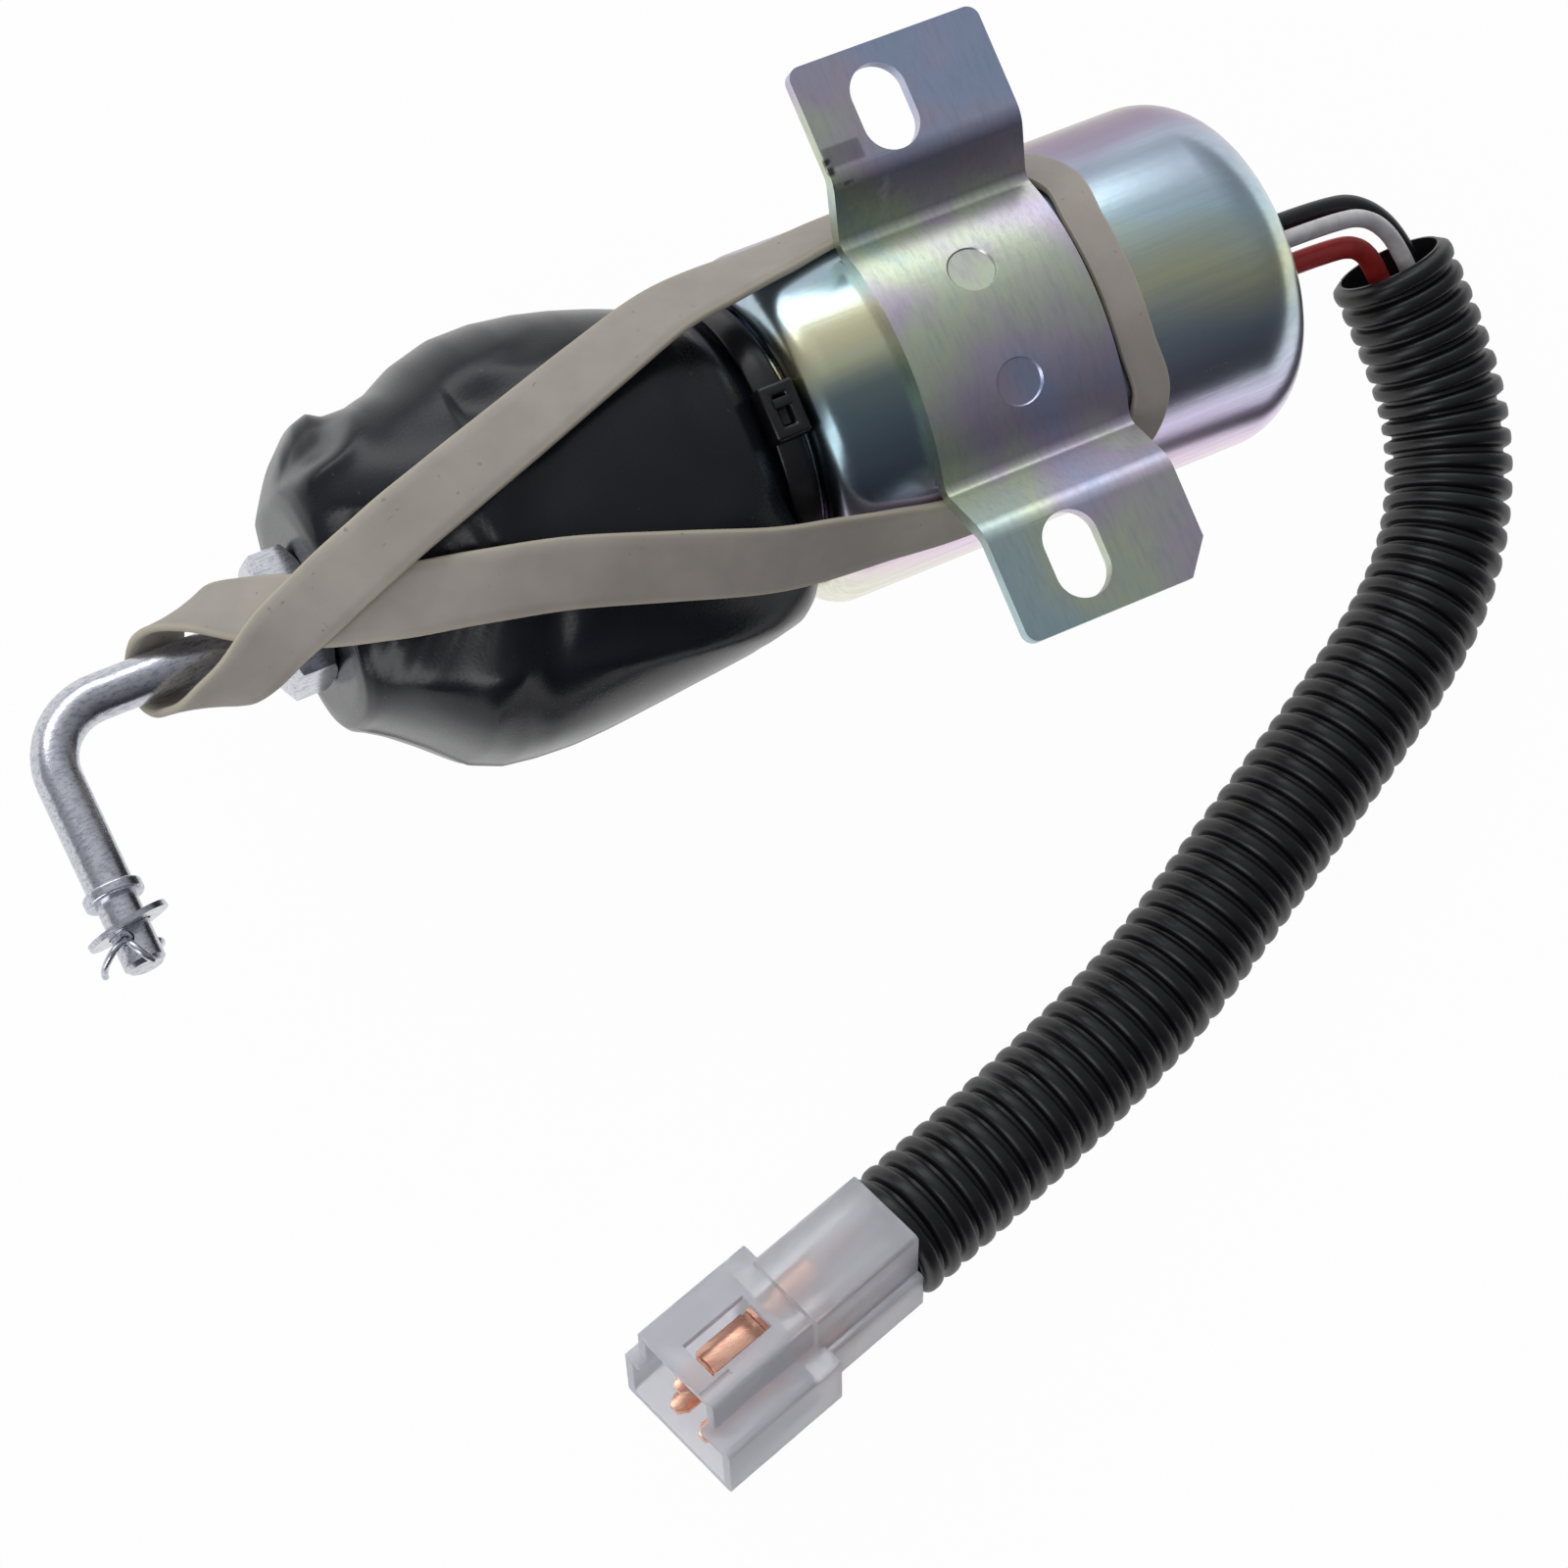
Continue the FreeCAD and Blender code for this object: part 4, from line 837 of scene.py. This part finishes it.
def ribbed_tube(points, settings):
    """Corrugated tube along a line, split along one side, open at both ends."""
    total = length_of(points)
    ribs = int(total / settings.pitch)
    pitch = total / ribs
    around = 2 * math.pi
    split = math.radians(SPLIT_ANGLE)
    stations = [((k + f) * pitch, depth) for k in range(ribs) for f, depth in RIB] + [(total, 0.9)]
    verts, faces = [], []
    angles = [split + around * (i + 0.5) / CONDUIT_FACES for i in range(CONDUIT_FACES)]
    angles = sorted(angles + [split + around + d for d in (-SPLIT_HALF, 0.0, SPLIT_HALF)])
    n = len(angles)

    def ring(distance, radius, bite):
        centre, ahead = at_distance(points, distance)
        side = ahead.cross(Vector((0.0, 0.0, 1.0))).normalized()
        up = side.cross(ahead)
        first = len(verts)
        for a in angles:
            r = radius - (bite if abs(a - split - around) < 1e-6 else 0.0)
            verts.append(centre + (side * math.cos(a) + up * math.sin(a)) * r)
        return first

    outer = [ring(s, settings.diameter / 2 - settings.rib_depth * d, SPLIT_DEPTH)
             for s, d in stations]
    inner = [ring(total * k / BORE_ROWS, settings.bore / 2, 0.0) for k in range(BORE_ROWS + 1)]
    for a, b in zip(outer, outer[1:]):
        faces += bridge(a, b, n)
    for a, b in zip(inner, inner[1:]):
        faces += bridge(b, a, n)
    faces += bridge(inner[0], outer[0], n) + bridge(outer[-1], inner[-1], n)
    return mesh_piece("conduit", verts, faces)


# Operators, one for each piece or group of like pieces

class SolenoidOperator:
    """Shared parts of the operators."""

    bl_options = {"REGISTER", "UNDO"}

    @property
    def settings(self):
        return bpy.context.scene.solenoid


class SOLENOID_OT_can(SolenoidOperator, bpy.types.Operator):
    """Turn the can with its rolled lip and rounded rear edge, and the plate with its neck"""

    bl_idname = "solenoid.can"
    bl_label = "Can and Neck"

    def execute(self, context):
        s = self.settings.can
        finish = zinc_can_finish(s)
        outline = CAN_LIP + arc(*CAN_MOUTH, 175, 90, 12) + [(x, CAN_R) for x in CAN_SIDE]
        can = turned(outline + arc(*CAN_TAIL, 90, 0, 16) + CAN_REAR, s.segments)
        outward(can)
        apply_modifier(can, "SOLIDIFY", thickness=0.0004, offset=-1.0)
        smooth(can, 50)
        dress(can, "can", finish, FIXED, "can_shell")
        plate = turned(NECK_PLATE, s.segments, closed_end=False)
        outward(plate, 1e-6)
        smooth(plate, 40)
        dress(plate, "neck_plate", finish, FIXED, "front_plate")
        return {"FINISHED"}


class SOLENOID_OT_bracket(SolenoidOperator, bpy.types.Operator):
    """Finish the saddle bracket with rounded edges and slots"""

    bl_idname = "solenoid.bracket"
    bl_label = "Bracket"

    def execute(self, context):
        edge = self.settings.can.bracket_edge
        bracket = from_node("mounting_bracket", bevel=edge, angle=38.0)
        apply_modifier(bracket, "WEIGHTED_NORMAL", keep_sharp=True)
        dress(bracket, "bracket", zinc_bracket_finish(), FIXED, "mounting_bracket")
        return {"FINISHED"}


class SOLENOID_OT_boot(SolenoidOperator, bpy.types.Operator):
    """Shape the slack rubber boot"""

    bl_idname = "solenoid.boot"
    bl_label = "Boot"

    def execute(self, context):
        s = self.settings.boot
        boot = turned([(row[0], row[1]) for row in BOOT_OUTLINE], s.segments, closed_end=False)
        sculpt_boot(boot)
        outward(boot)
        apply_modifier(boot, "SMOOTH", factor=0.5, iterations=2)
        apply_modifier(boot, "SOLIDIFY", thickness=s.wall, offset=-1.0)
        smooth(boot, 60)
        dress(boot, "rubber_boot", boot_finish(s), None, "boot")
        return {"FINISHED"}


class SOLENOID_OT_tie(SolenoidOperator, bpy.types.Operator):
    """Form the cable tie round the boot's neck, with its head and cut tail"""

    bl_idname = "solenoid.tie"
    bl_label = "Cable Tie"

    def execute(self, context):
        finish = moulded_black_finish("tie_nylon", (0.006, 0.006, 0.008), 0.30)
        strap = turned(TIE_STRAP, 120, closed_end=False)
        outward(strap, 1e-6)
        head = block((-0.02495, 0.0, (AXIS_Z + 18.9) * MM), (0.0046, 0.0068, 0.0043))
        bpy.ops.object.mode_set(mode="EDIT")
        bm = bmesh.from_edit_mesh(head.data)
        bm.faces.ensure_lookup_table()
        for face in bm.faces:
            face.select_set(face.normal.z > 0.9)
        bm.select_flush_mode()
        bmesh.update_edit_mesh(head.data)
        bpy.ops.mesh.inset(thickness=0.0010, depth=0.0)
        bpy.ops.mesh.inset(thickness=0.0005, depth=0.0)
        bpy.ops.mesh.extrude_region_move(TRANSFORM_OT_translate={"value": (0.0, 0.0, -0.0016)})
        bpy.ops.object.mode_set(mode="OBJECT")
        bpy.ops.object.transform_apply()
        apply_modifier(head, "BEVEL", width=0.00055, segments=3, limit_method="ANGLE",
                       angle_limit=math.radians(40))
        tail = block((-0.0249, 0.0009, (AXIS_Z + 20.6) * MM), (0.0023, 0.0012, 0.0013))
        bpy.ops.object.transform_apply()
        apply_modifier(tail, "BEVEL", width=0.0002, segments=2)
        nothing()
        for piece in (strap, head, tail):
            piece.select_set(True)
        bpy.context.view_layer.objects.active = strap
        bpy.ops.object.join()
        smooth(strap, 40)
        dress(strap, "tie_strap", finish, FIXED, "cable_tie")
        return {"FINISHED"}


class SOLENOID_OT_band(SolenoidOperator, bpy.types.Operator):
    """Lay the elastic band from the rod under both tabs and over the can"""

    bl_idname = "solenoid.band"
    bl_label = "Elastic Band"

    def execute(self, context):
        line = band_line()
        across = [-1.0, -0.94, -0.62, -0.3, 0.0, 0.3, 0.62, 0.94, 1.0]
        section = [(a, 1) for a in across] + [(a, -1) for a in reversed(across)]
        verts, faces, edge = [], [], []
        for i, (p, side, normal, w) in enumerate(line):
            wave = noise.noise(Vector((i * 0.11, 3.0, 1.0)))
            for a, face in section:
                thick = BAND_THICKNESS / 2 * (0.42 if abs(a) > 0.98 else 1.0)
                rise = thick * face - 0.10 * wave * a
                verts.append((p + side * (a * w / 2) + normal * rise) * MM)
                edge.append(abs(a))
        n, m = len(line), len(section)
        for i in range(n):
            faces += bridge(i * m, (i + 1) % n * m, m)
        band = mesh_piece("elastic_band", verts, faces)
        mark = band.data.attributes.new("edge", "FLOAT", "POINT")
        mark.data.foreach_set("value", edge)
        outward(band)
        smooth(band, 60)
        dress(band, "band", band_finish(self.settings.boot), None, "elastic_band")
        return {"FINISHED"}


class SOLENOID_OT_rod(SolenoidOperator, bpy.types.Operator):
    """Finish the bent rod, its nut, washer and split pin"""

    bl_idname = "solenoid.rod"
    bl_label = "Rod End"

    def execute(self, context):
        finish = bright_zinc_finish()
        for node, name, options in (
                ("link_rod", "rod", {"angle": 40.0, "tidy": False}),
                ("rod_lock_nut", "nut", {"angle": 28.0, "bevel": 0.00018}),
                ("pin_washer", "washer", {"angle": 40.0, "tidy": False}),
                ("cotter_pin", "split_pin", {"angle": 50.0, "tidy": False})):
            dress(from_node(node, **options), name, finish, MOVING, node)
        return {"FINISHED"}


class SOLENOID_OT_leads(SolenoidOperator, bpy.types.Operator):
    """Lay the three leads and the black potting they leave from"""

    bl_idname = "solenoid.leads"
    bl_label = "Leads"

    def execute(self, context):
        for node, diameter, blade, colour in LEADS:
            route = LEAD_ROUTES[node]
            lead = nurbs_cord(node.replace("wire", "lead"), route, diameter * MM)
            finish = insulation_finish(node.replace("wire", "insulation"), colour)
            lead.data.materials.append(finish)
            length = length_of(line_of(route))
            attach(lead, FIXED)
            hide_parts(node)
        potting = turned(POTTING, 48)
        for v in potting.data.vertices:
            far = max(0.0, (v.co.x / MM - 46.4) / 4.0)
            jag = noise.noise(Vector((v.co.y * 900.0, v.co.z * 900.0, 2.0)))
            v.co.x += jag * 0.0011 * min(1.0, far)
            v.co.y += (noise.noise(v.co * 620.0) * 0.0006 if far else 0.0) - 0.0010
            up = noise.noise(v.co * 540.0 + Vector((5, 5, 5))) * 0.0006 if far else 0.0
            v.co.z += up + 0.0005
        outward(potting)
        smooth(potting, 30)
        finish = moulded_black_finish("potting_black", (0.006, 0.006, 0.007), 0.42, 1200.0)
        dress(potting, "potting", finish, FIXED, "lead_grommet")
        return {"FINISHED"}


class SOLENOID_OT_conduit(SolenoidOperator, bpy.types.Operator):
    """Run the split corrugated conduit over the leads"""

    bl_idname = "solenoid.conduit"
    bl_label = "Conduit"

    def execute(self, context):
        s = self.settings.harness
        points = line_of(CONDUIT_ROUTE)
        conduit = ribbed_tube(points, s)
        outward(conduit)
        smooth(conduit, 50)
        finish = moulded_black_finish("conduit_black", (0.0035, 0.0036, 0.005), 0.38)
        dress(conduit, "conduit_tube", finish, FIXED, "conduit")
        return {"FINISHED"}


class SOLENOID_OT_connector(SolenoidOperator, bpy.types.Operator):
    """Finish the milky connector and its three blades"""

    bl_idname = "solenoid.connector"
    bl_label = "Connector"

    def execute(self, context):
        s = self.settings.harness
        housing = from_node("connector_housing", bevel=0.0002)
        dress(housing, "connector", nylon_finish(s), FIXED, "connector_housing")
        copper = copper_finish()
        for place in ("left", "right", "top"):
            blade = from_node("blade_terminal_" + place, bevel=0.00008)
            dress(blade, "blade_" + place, copper, FIXED, "blade_terminal_" + place)
        return {"FINISHED"}


class SOLENOID_OT_inside(SolenoidOperator, bpy.types.Operator):
    """Wind the return spring and finish the pieces inside the can"""

    bl_idname = "solenoid.inside"
    bl_label = "Inside"

    def execute(self, context):
        steel = inner_finish("turned_steel", (0.50, 0.50, 0.52), (0.36, 0.36, 0.38), 1.0, 900.0)
        copper = inner_finish("winding_copper", (0.62, 0.30, 0.16), (0.42, 0.18, 0.09), 1.0, 1600.0)
        nylon = inner_finish("bobbin_nylon", (0.62, 0.58, 0.48), (0.52, 0.48, 0.40), 0.0, 300.0)
        for node, material in (
                ("plunger_core", steel), ("guide_tube", steel), ("rear_pole_piece", steel),
                ("spring_seat_washer", steel), ("inner_jam_nut", steel), ("pull_winding", copper),
                ("hold_winding", copper), ("coil_bobbin", nylon)):
            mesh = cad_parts[node].data
            mesh.materials.clear()
            mesh.materials.append(material)
        rings = SPRING_TURNS * SPRING_STEPS
        first, last = SPRING_ENDS
        verts, faces = [], []
        for i in range(rings + 1):
            a = 2 * math.pi * i / SPRING_STEPS
            out = Vector((0.0, math.sin(a), math.cos(a)))
            centre = Vector((first + (last - first) * i / rings, 0.0, AXIS_Z)) + out * SPRING_R
            for k in range(WIRE_FACES):
                b = 2 * math.pi * k / WIRE_FACES
                spoke = out * math.cos(b) + Vector((math.sin(b), 0.0, 0.0))
                verts.append((centre + spoke * SPRING_WIRE_R) * MM)
        for i in range(rings):
            faces += bridge(i * WIRE_FACES, (i + 1) * WIRE_FACES, WIRE_FACES)
        for i in (0, rings):
            faces.append(tuple(range(i * WIRE_FACES, (i + 1) * WIRE_FACES)))
        spring = mesh_piece("spring", verts, faces)
        outward(spring)
        smooth(spring, 50)
        dress(spring, "coil_spring", steel, None, "return_spring")
        return {"FINISHED"}


class SOLENOID_OT_stage(SolenoidOperator, bpy.types.Operator):
    """Set the white floor, the soft lights and the camera of the photograph"""

    bl_idname = "solenoid.stage"
    bl_label = "Stage"

    def execute(self, context):
        scene = context.scene
        scene.view_settings.view_transform = "Standard"
        self.floor()
        self.world(scene)
        self.lamps()
        data = bpy.data.cameras.new("camera")
        data.lens = LENS
        data.sensor_width = SENSOR
        data.clip_start = 0.01
        data.clip_end = 20.0
        camera = new_object("camera", data)
        axes = Matrix((CAMERA_RIGHT, CAMERA_UP, CAMERA_BACK)).transposed()
        camera.matrix_world = Matrix.Translation(CAMERA_PLACE) @ axes.to_4x4()
        scene.camera = camera
        return {"FINISHED"}

    def floor(self):
        nothing()
        bpy.ops.mesh.primitive_grid_add(x_subdivisions=4, y_subdivisions=4, size=FLOOR_SIZE,
                                        location=(0.0, 0.0, FLOOR_Z * MM - 0.0001))
        floor = bpy.context.object
        floor.name = "floor"
        f = Finish("floor_white", Base_Color=(0.86, 0.86, 0.88), Roughness=0.9,
                   Specular_IOR_Level=0.1)
        rays = f.node("ShaderNodeLightPath", out="Is Camera Ray")
        path = rays.socket.node
        seen = (rays + Value(f, path.outputs["Is Glossy Ray"])
                + Value(f, path.outputs["Is Transmission Ray"])).math("MINIMUM", 1.0)
        glow = f.node("ShaderNodeEmission", None, {"Color": (1.0, 1.0, 1.0), "Strength": 1.0})
        mixed = f.node("ShaderNodeMixShader", None, {
            0: seen * FLOOR_GLOW, 1: Value(f, f.shader.outputs[0]), 2: glow})
        f.put(f.tree.nodes["Material Output"].inputs["Surface"], mixed)
        floor.data.materials.append(f.material)

    def world(self, scene):
        scene.world = bpy.data.worlds.new("studio")
        w = Nodes(scene.world)
        way = w.node("ShaderNodeTexCoord", out="Generated")
        turn = w.node("ShaderNodeVectorMath", {"operation": "DOT_PRODUCT"}, [way, WORLD_TURN],
                      "Value")
        light = w.node("ShaderNodeValToRGB", {"stops": WORLD_STOPS}, [turn + WORLD_SHIFT])
        seen = w.node("ShaderNodeLightPath", out="Is Camera Ray")
        w.put(w.tree.nodes["Background"].inputs["Color"], w.mix(seen, light, (1.0, 1.0, 1.0)))

    def lamps(self):
        for name, place, size, power in LAMPS:
            data = bpy.data.lights.new(name, "AREA")
            data.shape = "RECTANGLE"
            data.size, data.size_y = size
            data.energy = power
            data.color = (0.97, 0.98, 1.0)
            lamp = new_object(name, data)
            lamp.location = place
            aim = Vector((0.0, -0.02, -0.03)) - Vector(place)
            lamp.rotation_euler = aim.to_track_quat("-Z", "Y").to_euler()


class SOLENOID_PT_panel(bpy.types.Panel):
    """Settings, and a button for each operator."""

    bl_label = "Fuel Shutoff Solenoid"
    bl_idname = "SOLENOID_PT_panel"
    bl_space_type = "VIEW_3D"
    bl_region_type = "UI"
    bl_category = "Solenoid"

    def draw(self, context):
        layout = self.layout
        settings = context.scene.solenoid
        for group in (settings.can, settings.boot, settings.harness):
            box = layout.box()
            for key in group.__annotations__:
                box.prop(group, key)
        for step in STEPS:
            layout.operator(step.bl_idname)


STEPS = (
    SOLENOID_OT_stage, SOLENOID_OT_can, SOLENOID_OT_bracket, SOLENOID_OT_boot, SOLENOID_OT_tie,
    SOLENOID_OT_rod, SOLENOID_OT_band, SOLENOID_OT_connector, SOLENOID_OT_leads,
    SOLENOID_OT_conduit, SOLENOID_OT_inside,
)
CLASSES = (CanSettings, BootSettings, HarnessSettings, SolenoidSettings, *STEPS, SOLENOID_PT_panel)


def register():
    for cls in CLASSES:
        bpy.utils.register_class(cls)
    bpy.types.Scene.solenoid = bpy.props.PointerProperty(
        type=SolenoidSettings, name="Solenoid", description="Sizes and colours of the solenoid")


def unregister():
    del bpy.types.Scene.solenoid
    for cls in reversed(CLASSES):
        bpy.utils.unregister_class(cls)


def main():
    register()
    for step in STEPS:
        group, name = step.bl_idname.split(".")
        getattr(getattr(bpy.ops, group), name)()


if __name__ == "__main__":
    main()
